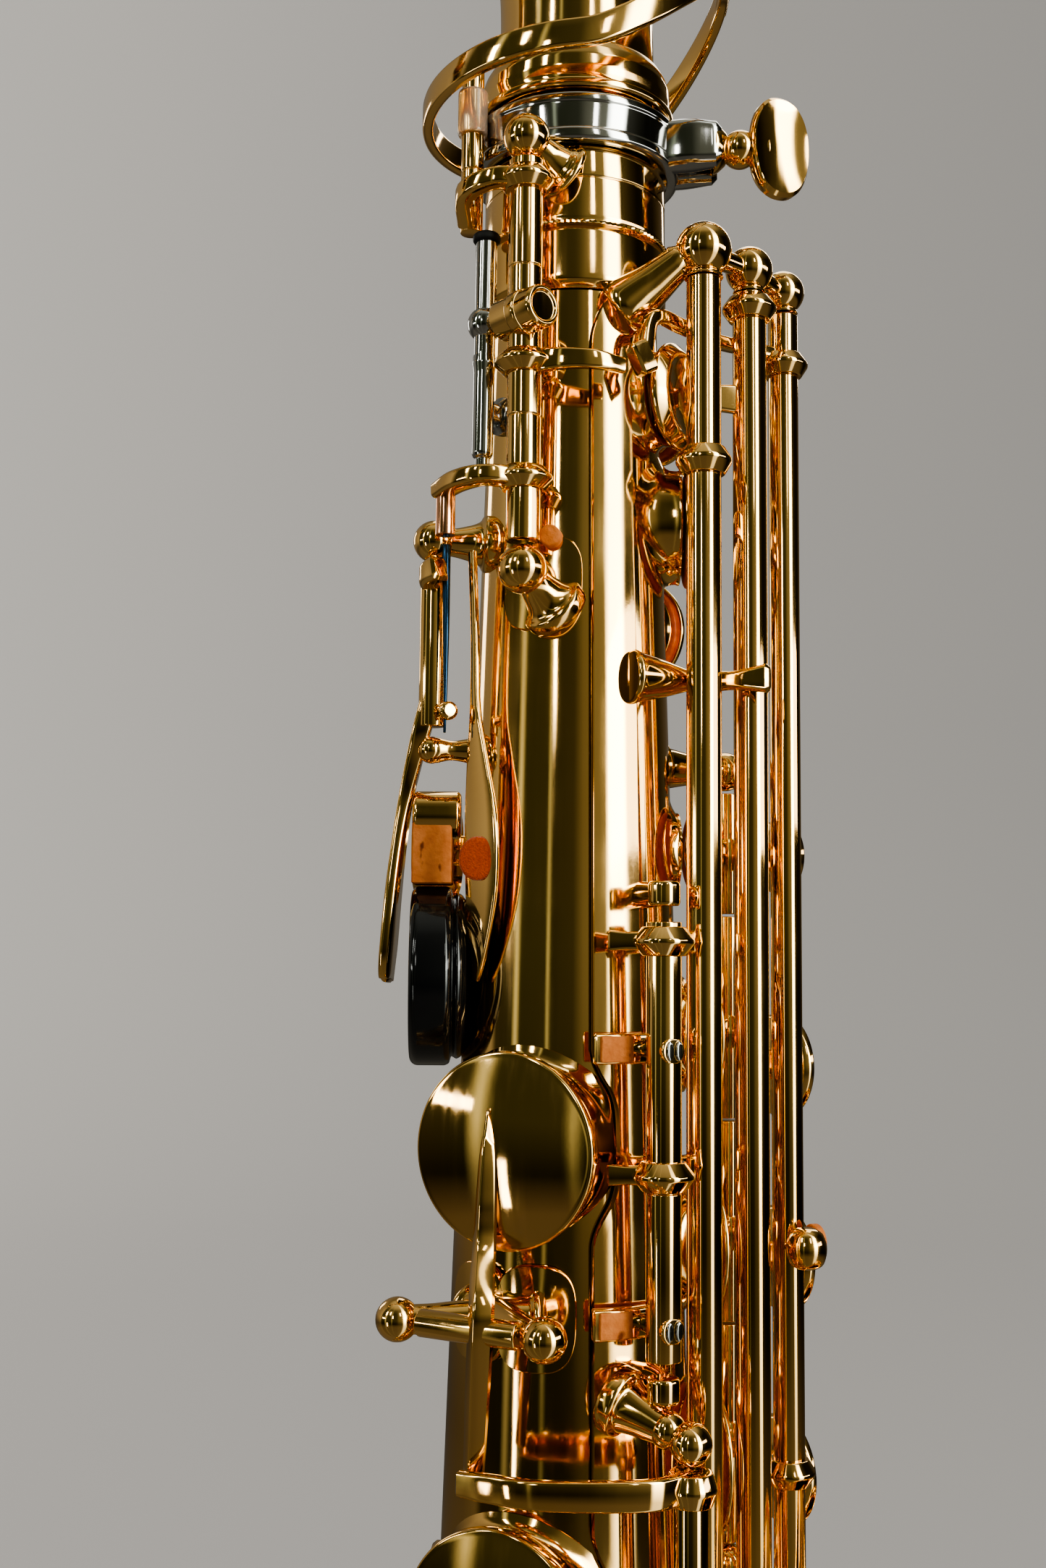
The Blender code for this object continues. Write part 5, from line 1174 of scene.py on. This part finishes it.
def high_fs_key():
    a, r = ROD_FS[:2]
    brass, leather = key_cup(240, 173, 7.6, 15.2, 3, True)
    parts = [long_rod(ROD_FS), collar(polar(a, r, 186.4), 2.4, 1.7, 1.62)] + brass
    parts.append(bar([(a, r, 173), (248, 21.8, 173), (240, 18, 173)], [4.4, 3.8, 3], 1.4, 0.5))
    parts.append(collar(polar(a, r, -33), 2.4, 2.2, 1.5))
    parts.append(bar([(a, r, -33), (246, 34, -33), (238, 37, -34)], 5, 1.8, 0.6))
    parts += touch(236, 37.4, -35, 8, 14)
    build_moving("high_fs_key", brass=parts, leather=leather)


def g_link_key():
    a, r = ROD_G[:2]
    parts = [long_rod(ROD_G), collar(polar(a, r, 181), 2.2, 1.7, 1.65),
        collar(polar(a, r, 23), 2.2, 1.8, 1.65)]
    route = [polar(a, r, 182.6), polar(266, 25.5, 182.6), polar(257, 21.2, 182.5), polar(245, 19.4, 182.4),
        polar(231, 18.5, 182.3), polar(219, 18.7, 182.3), polar(212, 18.9, 181), polar(209.5, 19, 176.5)]
    parts.append(strip(route, 1.9, 1.8, UP, corner=0.4))
    parts.append(bar([(210, 19.2, 176), (204.5, 19.3, 175)], 4.6, 2.6, 0.6))
    knob = polar(264, 33, 54)
    parts.append(turned([(1, -2.8), (2.3, -2.2), (2.8, -0.6), (2.8, 0.8), (2.2, 2.3), (1, 2.9)],
        shift(*knob), 48, soft=0.8))
    parts.append(sweep([polar(a, r, 54), knob], 1.5, 20, 3))
    hand = aim(polar(268.5, 34.4, 54.6), outward(290))
    cork = [turned([(2.2, -0.7), (2.4, -0.5), (2.4, 0.5), (2.2, 0.7)], hand, 44, soft=0.2)]
    build_moving("g_link_key", brass=parts, cork=cork)


def bridge_key():
    """Adjusting bar with two arms, two corked feet and two slotted screws."""
    a, r = BRIDGE_ROD
    parts = [upright(a, r, 98.5, 43, 2.3, (64,), 52)]
    for z in (96, 66):
        parts.append(collar(polar(a, r, z), 2.3, 1.9, 1.75))
        parts.append(bar([(a, r, z), (222, 18.9, z), (240, 18.9, z), (256, 20.4, z)], 3, 1.4, 0.45))
        parts.append(bar([(a, r, z), (200, 21.6, z), (193, 20.6, z)], [2.8, 2.4, 2.8], 1.5, 0.45))
    screws, corks = [], []
    for z in (82, 47):
        parts.append(bar([(188, 20.2, z), (200, 19.9, z), (222, 19, z)], 4, 1.4, 0.4))
        corks.append(bar([(190, 20.9, z), (196, 20.8, z), (202, 20.5, z)], 3.4, 0.5, 0.2))
        corks.append(bar([(188, 19.25, z), (200, 19, z), (216, 18.45, z)], 4, 0.5, 0.2))
        head = facing(a, 25.7, z)
        parts.append(turned([(1.75, -0.3), (1.75, 0.45), (1.55, 0.62)], head, 36, soft=0.12))
        for side in (-1, 1):
            screws.append(turned([(1.28, 0.5), (1.28, 0.86), (1, 0.96)],
                head @ Matrix.Diagonal((1, 0.4, 1, 1)) @ shift(0, 1.75 * side, 0), 28, soft=0.1))
        screws.append(rod(polar(a, 19.6, z), polar(a, 22, z), 1.2))
    build_moving("bridge_key", brass=parts, nickel=screws, cork=corks)


# ---------------------------------------------------------------- key stacks
TOPS = {z: top for _, _, z, _, top in TONE_HOLES}


def upper_stack():
    """C vent, B, A and G keys, standing open by some degrees."""
    keys = (("c_vent_key", 118.2, 100.3, 109, 6.6, 109, 5.5, 7), ("b_key", 99.9, 70.4, 83, 9.4, 78, 7.5, 7),
        ("a_key", 70, 41.4, 54, 9.8, 50, 7.5, 6), ("g_key", 41, 10.6, 25, 10.4, 20, 7.5, 5))
    a, r = STACK_TOP_ROD
    for name, top, bottom, z, size, touch_z, touch_r, opening in keys:
        seat = TOPS[z] + GAP
        brass, leather = key_cup(273, z, size, seat, 2.2, True)
        parts = [upright(a, r, top, bottom, 2.1)] + brass + arm_to_cup(STACK_TOP_ROD, 273, z, seat, 2.2, 4)
        parts += [collar(polar(a, r, z), 2.1, 2.4, 1.35)]
        parts.append(bar([(a, r, touch_z), (293.5, 29.5, touch_z), (292, 32.6, touch_z)], 4.4, 1.8, 0.6))
        shell, pearl = pearl_touch(290, 33.5, touch_z, touch_r)
        build_moving(name, opening, place(STACK_TOP_ROD, z), brass=parts + shell,
            leather=leather, pearl=pearl)


def lower_stack():
    """F sharp vent, F, E and D keys, standing open by some degrees."""
    keys = (("fs_vent_key", -44.6, -73, -58, 11.4, None), ("f_key", -73.5, -101.2, -88, 12.6, -84),
        ("e_key", -108.8, -137.5, -121, 13.4, -114), ("d_key", -138, -174.2, -156, 14, -146))
    a, r = STACK_LOW_ROD
    for name, top, bottom, z, size, touch_z in keys:
        seat = TOPS[z] + GAP
        brass, leather = key_cup(262, z, size, seat, 3.4)
        parts = [upright(a, r, top, bottom, 2.2)] + brass + arm_to_cup(STACK_LOW_ROD, 262, z, seat, 3.4, 5)
        parts.append(collar(polar(a, r, z), 2.2, 2.8, 1.35))
        pearl = []
        if touch_z is not None:
            parts.append(bar([(a, r, touch_z), (233, 36.4, touch_z), (238, 38.5, touch_z)], 5, 1.8, 0.6))
            shell, pearl = pearl_touch(241, 39.6, touch_z, 8.5)
            parts += shell
        build_moving(name, -6, place(STACK_LOW_ROD, z), brass=parts, leather=leather, pearl=pearl)


# ---------------------------------------------------------------- side keys
def side_cup(name, cup_z, hinge_z, foot_z, seat):
    """Domed side cup with its hinge tube and its ridged arm."""
    centre = place(SIDE_HINGE, hinge_z)
    along = sideways(SIDE_HINGE[0])
    at = facing(154, seat, cup_z)
    r = 12.8
    parts = [turned([(1.55, -7.4), (1.75, -7.2), (1.75, 7.2), (1.55, 7.4)],
        aim(centre, along), 44, soft=0.15)]
    rows = [(0, 0.9), (r - 0.6, 0.9), (r - 0.1, 0.8), (r, 1.1), (r, 2)]
    rows += [(r - 0.5 + 0.5 * math.cos(math.radians(t)), 2 + 0.5 * math.sin(math.radians(t)))
        for t in (20, 40, 60)]
    rows += [(r * u, 2.45 + 1.65 * (1 - (u / 0.965) ** 2))
        for u in [0.965 - 0.965 * k / 28 for k in range(29)]]
    parts.append(turned(rows, at, 160, soft=0))
    route = []
    for reach, z in ((seat + 3.9, cup_z + 5.2), (seat + 4.5, cup_z), (seat + 4.7, cup_z - 6),
            (seat + 4.9, cup_z - 12), (27, hinge_z + 4), (27.4, hinge_z), (26.6, hinge_z - 6),
            (25.6, foot_z + 6), (24.9, foot_z)):
        share = (cup_z + 5.2 - z) / (cup_z + 5.2 - foot_z)
        route.append(polar(180 - math.degrees(math.asin((11 + 1.5 * share) / reach)), reach, z))
    parts.append(strip(route, [0.5, 2.2, 2.8, 3.1, 3.3, 3.4, 3.3, 3.1, 2.8],
        [0.6, 1.9, 2.3, 2.4, 2.5, 2.6, 2.3, 2.1, 2], along, steps=8, corner=0.5, section=ridge_section))
    leather = [turned([(0, 0.05), (r - 1.6, 0.05), (r - 0.8, 0.4), (r - 0.7, 1.1)], at, 96, soft=0.3)]
    resonator = [turned([(0, -0.6), (3, -0.5), (5.4, -0.1), (5.6, 0.2)], at, 48, soft=0.1)]
    build_moving(name, brass=parts, leather=leather, nickel=resonator)


def side_lever(name, place_at, top, bottom, arm_z, touch_z):
    """Long side lever: rod, collar, arm to the cup's foot, and touch."""
    a, r = place_at
    parts = [upright(a, r, top, bottom, 2.2, (), 48), collar(polar(a, r, arm_z - 0.2), 2.2, 2, 1.5)]
    parts.append(bar([(a, r, arm_z), (a - 14, 28.9, arm_z), (172, 28, arm_z), (158, 27.3, arm_z),
        (149, 27.2, arm_z)], [4, 3.8, 3.6, 3.4, 3], 1.6, 0.45))
    parts.append(bar([(a, r, touch_z), (a - 6, 34, touch_z), (184, 35.4, touch_z)], 5, 1.8, 0.6))
    parts += touch(181, 35.6, touch_z, 11, 17)
    build_moving(name, brass=parts)


def palm_keys():
    keys = (("palm_f_key", 330, 21.5, 180.8, 163.2, 302, 176, 7.8, 15.4, 352, 26.5, 169.5, 9),
        ("palm_eb_key", 358, 21.8, 152.8, 134.8, 325, 143, 8.6, 16.2, 378, 27, 145, 9.5),
        ("palm_d_key", 385, 22.8, 128.8, 106.2, 352, 114, 9.4, 17.2, 406, 28, 110, 10))
    for name, a, r, top, bottom, cup_a, cup_z, size, seat, touch_a, touch_r, touch_z, wide in keys:
        brass, leather = key_cup(cup_a, cup_z, size, seat, 3.2)
        parts = [upright(a, r, top, bottom, 2)] + brass + arm_to_cup((a, r), cup_a, cup_z, seat, 3.2, 4)
        parts.append(bar([(a, r, touch_z), ((a + touch_a) / 2, touch_r - 1.2, touch_z),
            (touch_a, touch_r, touch_z)], [4.4, 4.6, 5], 1.6, 0.5))
        parts += touch(touch_a, touch_r, touch_z, wide, 18)
        build_moving(name, brass=parts, leather=leather)


def bell_cup(seat, direction, size):
    """Large cup with a stepped crown, and its pad; returns (brass parts, leather parts)."""
    at = aim(seat, direction)
    brass = [turned([(0, 1), (size - 0.8, 1), (size - 0.2, 0.9), (size, 1.2), (size, 2.3),
        (size * 0.93, 2.8), (size * 0.72, 3.5), (size * 0.7, 3.8), (size * 0.3, 4.3), (0, 4.4)],
        at, 110, soft=0.35)]
    leather = [turned([(0, 0.05), (size - 1.8, 0.05), (size - 0.9, 0.4),
        (size - 0.8, 1.2)], at, 96, soft=0.3)]
    return brass, leather


def bow_key_cup(face_x, y, start, bends, tail, lean):
    """Cup on one of the bow's tone holes and the bent arm from its rod; returns (brass, leather)."""
    way = TO_LEFT * math.copysign(1, face_x)
    seat = Vector((face_x, y, BOW_KEY_Z))
    brass, leather = bell_cup(seat, way, 15.2)
    crown = seat + way * 3.9
    route = [start, *(Vector((x, AXIS_Y - back, z)) for x, back, z in bends), crown, crown + tail]
    arm = strip(route, [6, 6, 6, 6, 5.4, 3.4], [2.4, 2.2, 2.2, 2.2, 1.8, 1.2], lean, steps=8, corner=0.7)
    return brass + [arm], leather


def pinky_keys():
    """Left little finger: G sharp, low B flat, low B and low C sharp."""
    brass, leather = key_cup(286, -19, 9.4, 20, 2.8)
    parts = [upright(*G_SHARP_ROD, -4.4, -31.6, 2)] + brass + arm_to_cup(G_SHARP_ROD, 286, -19, 20, 2.8, 4.4)
    parts.append(bar([(*G_SHARP_ROD, -14), (316, 33, -14), (314, 37, -14)], 4.6, 1.8, 0.6))
    parts += touch(311, 37.6, -14, 9, 15)
    build_moving("g_sharp_key", brass=parts, leather=leather)
    size = 17.6
    bell_keys = (("low_bb_key", 320, -40.5, -112.6, BELL_HOLES[0], -50, 15),
        ("low_b_key", 333, -12, -172.6, BELL_HOLES[1], -24, 16))
    for name, a, top, bottom, (cup_z, rim_x), touch_z, touch_h in bell_keys:
        seat = Vector((rim_x + GAP, BELL_Y, cup_z))
        brass, leather = bell_cup(seat, TO_LEFT, size)
        crown = seat + Vector((3.9, 0, 0))
        bend = Vector((crown.x + 3, BELL_Y + size + 12, cup_z))
        parts = [upright(a, 31, top, bottom, 2.2)] + brass
        parts.append(strip([polar(a, 31, cup_z), bend, crown, crown + Vector((0, -5, 0))],
            [6.4, 6, 5.6, 3.4], [2.6, 2.2, 1.9, 1.3], UP, steps=9, corner=0.7))
        parts.append(bar([(a, 31, touch_z), (a, 38, touch_z)], 5, 1.8, 0.6))
        parts.append(collar(polar(a, 31, cup_z), 2.2, 3.4, 1.4))
        parts += touch(a, 38.4, touch_z, 8, touch_h)
        build_moving(name, 3.5, polar(a, 31, cup_z), brass=parts, leather=leather)
    a = 347
    cup, leather = bow_key_cup(31.9, AXIS_Y - 60, polar(a, 31, -226),
        ((41, 6, -232), (43, 24, -268), (39.5, 46, -300)), Vector((0, -3.6, -1.8)), Vector((0, 0.5, 1)))
    parts = [upright(a, 31, -12, -232.6, 2.2, (-120,))] + cup
    parts.append(bar([(a, 31, -24), (a, 38, -24)], 5, 1.8, 0.6))
    parts += touch(a, 38.4, -24, 8, 16)
    build_moving("low_cs_key", brass=parts, leather=leather)


def right_pinky_keys():
    """Right little finger: low E flat and low C."""
    brass, leather = key_cup(222, -206, 14, 27, 3.6)
    parts = [upright(*PINKY_ROD, -186.4, -207, 2.2)] + brass
    parts.append(bar([(*PINKY_ROD, -203), (206, 34, -204), (222, 30.3, -206), (228, 29.9, -206.6)],
        [5.2, 5, 4.4, 2.8], [2.2, 1.9, 1.6, 1.1], 0.6))
    parts.append(bar([(*PINKY_ROD, -190.5), (185, 37.8, -190.5), (178, 40, -190.5)], 5, 1.8, 0.6))
    parts += touch(174, 40.8, -190.5, 12, 11, 3)
    build_moving("low_eb_key", brass=parts, leather=leather)
    cup, leather = bow_key_cup(-31.5 - GAP, AXIS_Y - 38, place(PINKY_ROD, -224),
        ((-41, 12, -236), (-42, 24, -270), (-40, 33, -296)), Vector((0, -2.4, -3)), Vector((0, 0.6, 1)))
    parts = [upright(*PINKY_ROD, -207.6, -228.6, 2.2)] + cup
    parts.append(bar([(*PINKY_ROD, -211), (185, 37.8, -210), (178, 40, -209)], 5, 1.8, 0.6))
    parts += touch(174, 40.8, -208, 12, 13, 3)
    build_moving("low_c_key", -5, place(PINKY_ROD, -220), brass=parts, leather=leather)


# ---------------------------------------------------------------- studio
FLOOR_Z = CAD_LOW.z
CAMERA_AT = Vector((-0.239, (AXIS_Y + 6.9) * MM, 0.095))
CAMERA_PITCH = 5.6
CAMERA_ROLL = 0.55
LENS = 38.34


def camera():
    """Camera at the photograph's viewing angle."""
    bpy.context.scene.view_settings.look = "AgX - High Contrast"
    data = bpy.data.cameras.new("camera")
    data.lens = LENS
    data.sensor_width = 36.0
    data.clip_start = 0.01
    thing = bpy.data.objects.new("camera", data)
    bpy.context.scene.collection.objects.link(thing)
    heading = Matrix.Rotation(math.radians(-90.0), 4, "Z")
    pitch = Matrix.Rotation(math.radians(90.0 + CAMERA_PITCH), 4, "X")
    roll = Matrix.Rotation(math.radians(CAMERA_ROLL), 4, "Z")
    thing.matrix_world = Matrix.Translation(CAMERA_AT) @ (heading @ pitch) @ roll
    bpy.context.scene.camera = thing


def backdrop():
    """Pale floor that sweeps up into a plain wall all round; only the camera sees it. It glows by its own
    emission, painted light that is brighter towards +Y, the player's side.
    """
    rows = [(0.001, 0.0), (1.0, 0.0), (2.0, 0.0)]
    rows += [(2.4 + 0.9 * math.sin(math.radians(a)), 0.9 - 0.9 * math.cos(math.radians(a)))
        for a in range(0, 91, 10)]
    rows += [(3.3, 2.0), (3.3, 4.0)]
    segs = 96
    turns = [2 * math.pi * k / segs for k in range(segs)]
    verts = [(r * math.cos(a), r * math.sin(a), h + FLOOR_Z) for r, h in rows for a in turns]
    faces = [(i * segs + k, i * segs + (k + 1) % segs, (i + 1) * segs + (k + 1) % segs, (i + 1) * segs + k)
        for i in range(len(rows) - 1) for k in range(segs)]
    mesh = bpy.data.meshes.new("floor")
    mesh.from_pydata(verts, [], faces)
    mesh.shade_smooth()
    # painted light: the backdrop glows by emission instead of being lit by the lamps
    mat, tree, shader = shader_of("backdrop", (0.10, 0.097, 0.093), 1.0, Emission_Strength=1.0,
        Specular_IOR_Level=0.0)
    where = add(tree, "ShaderNodeTexCoord")
    split = add(tree, "ShaderNodeSeparateXYZ")
    tree.links.new(where.outputs["Generated"], split.inputs["Vector"])
    # painted light: the glow is brightest towards +Y, the player's side, and dimmer towards the bell side
    tree.links.new(ramp(tree, split.outputs["Y"], [(0.3, (0.25, 0.238, 0.225)), (0.5, (0.285, 0.27, 0.256)),
        (0.68, (0.37, 0.35, 0.328))]), shader.inputs["Emission Color"])
    mesh.materials.append(mat)
    thing = bpy.data.objects.new("floor", mesh)
    bpy.context.scene.collection.objects.link(thing)
    thing.visible_glossy = False
    thing.visible_diffuse = False
    thing.visible_shadow = False


# studio brightness: angle from the camera's side towards the bell side, then (r, g, b)
SURROUND = [(-180.0, (0.16, 0.15, 0.13)), (-110.0, (0.26, 0.25, 0.22)), (-93.0, (0.36, 0.35, 0.30)),
    (-86.0, (0.06, 0.062, 0.042)), (-66.0, (0.050, 0.056, 0.034)), (-61.0, (0.70, 0.76, 0.58)),
    (-56.0, (0.055, 0.062, 0.036)), (-28.0, (0.060, 0.066, 0.040)), (-25.0, (0.50, 0.55, 0.40)),
    (-22.0, (0.048, 0.053, 0.031)), (2.0, (0.065, 0.069, 0.044)), (12.0, (0.17, 0.17, 0.12)),
    (34.0, (0.24, 0.24, 0.18)), (40.0, (6.5, 6.8, 6.2)), (54.0, (7.0, 7.3, 6.7)), (58.0, (0.07, 0.07, 0.05)),
    (84.0, (0.014, 0.014, 0.009)), (115.0, (0.02, 0.019, 0.013)), (140.0, (0.08, 0.075, 0.06)),
    (180.0, (0.16, 0.15, 0.13))]


def surroundings():
    """Studio round the object, seen in its reflections: brightness by direction, then by height."""
    world = bpy.data.worlds.new("studio")
    bpy.context.scene.world = world
    world.use_nodes = True
    tree = world.node_tree
    back = tree.nodes["Background"]
    where = tree.nodes.new("ShaderNodeTexCoord")
    split = tree.nodes.new("ShaderNodeSeparateXYZ")
    tree.links.new(where.outputs["Generated"], split.inputs["Vector"])

    def maths(operation, a, b):
        made = tree.nodes.new("ShaderNodeMath")
        made.operation = operation
        for socket, value in ((made.inputs[0], a), (made.inputs[1], b)):
            if isinstance(value, float):
                socket.default_value = value
            else:
                tree.links.new(value, socket)
        return made.outputs[0]

    toward = maths("MULTIPLY", split.outputs["X"], -1.0)
    right = maths("MULTIPLY", split.outputs["Y"], -1.0)
    angle = maths("ARCTAN2", right, toward)
    share = maths("MULTIPLY_ADD", angle, 0.5 / math.pi)
    share.node.inputs[2].default_value = 0.5
    walls = ramp(tree, share, [((a + 180.0) / 360.0, colour) for a, colour in SURROUND])
    tall = maths("MULTIPLY_ADD", split.outputs["Z"], 0.5)
    tall.node.inputs[2].default_value = 0.5
    over = ramp(tree, tall, [(0.0, (0.13, 0.12, 0.10)), (0.28, (0.11, 0.10, 0.08)), (0.38, grey(0.0)),
        (0.80, grey(0.0)), (0.90, (0.10, 0.10, 0.075)), (1.0, (0.45, 0.45, 0.38))])
    keep = ramp(tree, tall, [(0.0, grey(0.10)), (0.30, grey(0.16)), (0.40, grey(0.40)), (0.53, grey(1.0)),
        (0.80, grey(1.0)), (0.90, grey(0.3)), (1.0, grey(0.1))])
    tree.links.new(blend(tree, "ADD", blend(tree, "MULTIPLY", walls, keep), over), back.inputs["Color"])


def softbox(name, place_at, size, power):
    """Area light that faces the middle of the object."""
    data = bpy.data.lights.new(name, "AREA")
    data.shape = "RECTANGLE"
    data.size, data.size_y = size
    data.energy = power
    data.color = (1.0, 1.0, 0.96)
    thing = bpy.data.objects.new(name, data)
    bpy.context.scene.collection.objects.link(thing)
    thing.matrix_world = aim(Vector(place_at), Vector(place_at) - Vector((0.0, 0.0, 0.05)))
    thing.visible_camera = False


def lights():
    """Small panels round the object, a strip in front and a wide light above."""
    for k, (turn, lift, wide, tall, power) in enumerate(((-62.0, 30.0, 0.42, 0.10, 1.5),
            (-38.0, 36.0, 0.36, 0.09, 1.1), (-72.0, 8.0, 0.09, 0.50, 0.9), (-20.0, 20.0, 0.30, 0.08, 0.8),
            (-50.0, -16.0, 0.40, 0.08, 0.7), (22.0, 34.0, 0.40, 0.10, 0.6), (150.0, 34.0, 0.50, 0.14, 0.9),
            (-140.0, 20.0, 0.5, 0.3, 1.2))):
        a, e = math.radians(turn), math.radians(lift)
        place_at = (-1.5 * math.cos(a) * math.cos(e), -1.5 * math.sin(a) * math.cos(e),
            0.05 + 1.5 * math.sin(e))
        softbox(f"panel_{k}", place_at, (wide, tall), power)
    softbox("front_strip", (-0.55, -1.15, 0.35), (0.22, 1.3), 3.0)
    softbox("back_top", (1.2, -0.3, 1.6), (1.2, 0.8), 5.0)


# ---------------------------------------------------------------- everything
body_tube()
bow()
bell()
ring_band("body_bow_ring", AXIS_Y, TUBE_BOTTOM, tube_radius(TUBE_BOTTOM) + 1.1, 12.0)
ring_band("bell_bow_ring", BELL_Y, TUBE_BOTTOM, max(bell_radius(TUBE_BOTTOM), 31.2) + 0.9, 12.0)
bell_brace()
neck_receiver()
receiver_clamp()
receiver_screw()
strap_ring()
thumb_rest()
thumb_hook()
right_rib()
rods_mid_post()
side_posts("side_c_hinge_posts", 47.0)
side_posts("side_bb_hinge_posts", -12.7)
bridge_posts()
bell_key_guard()
neck()
mouthpiece()
neck_octave_key()
octave_rocker()
octave_thumb_lever()
thumb_work()
body_octave_key()
high_e_key()
high_fs_key()
g_link_key()
bridge_key()
upper_stack()
lower_stack()
side_cup("side_c_cup", 68.7, 47.0, 29.0, 18.0 + GAP)
side_cup("side_bb_cup", 9.0, -12.7, -30.7, 19.5 + GAP)
side_lever("side_c_lever", SIDE_C_ROD, 30.3, -45.6, 28.5, -34.0)
side_lever("side_bb_lever", SIDE_BB_ROD, -27.2, -102.6, -31.0, -64.0)
palm_keys()
pinky_keys()
right_pinky_keys()
backdrop()
surroundings()
lights()
camera()
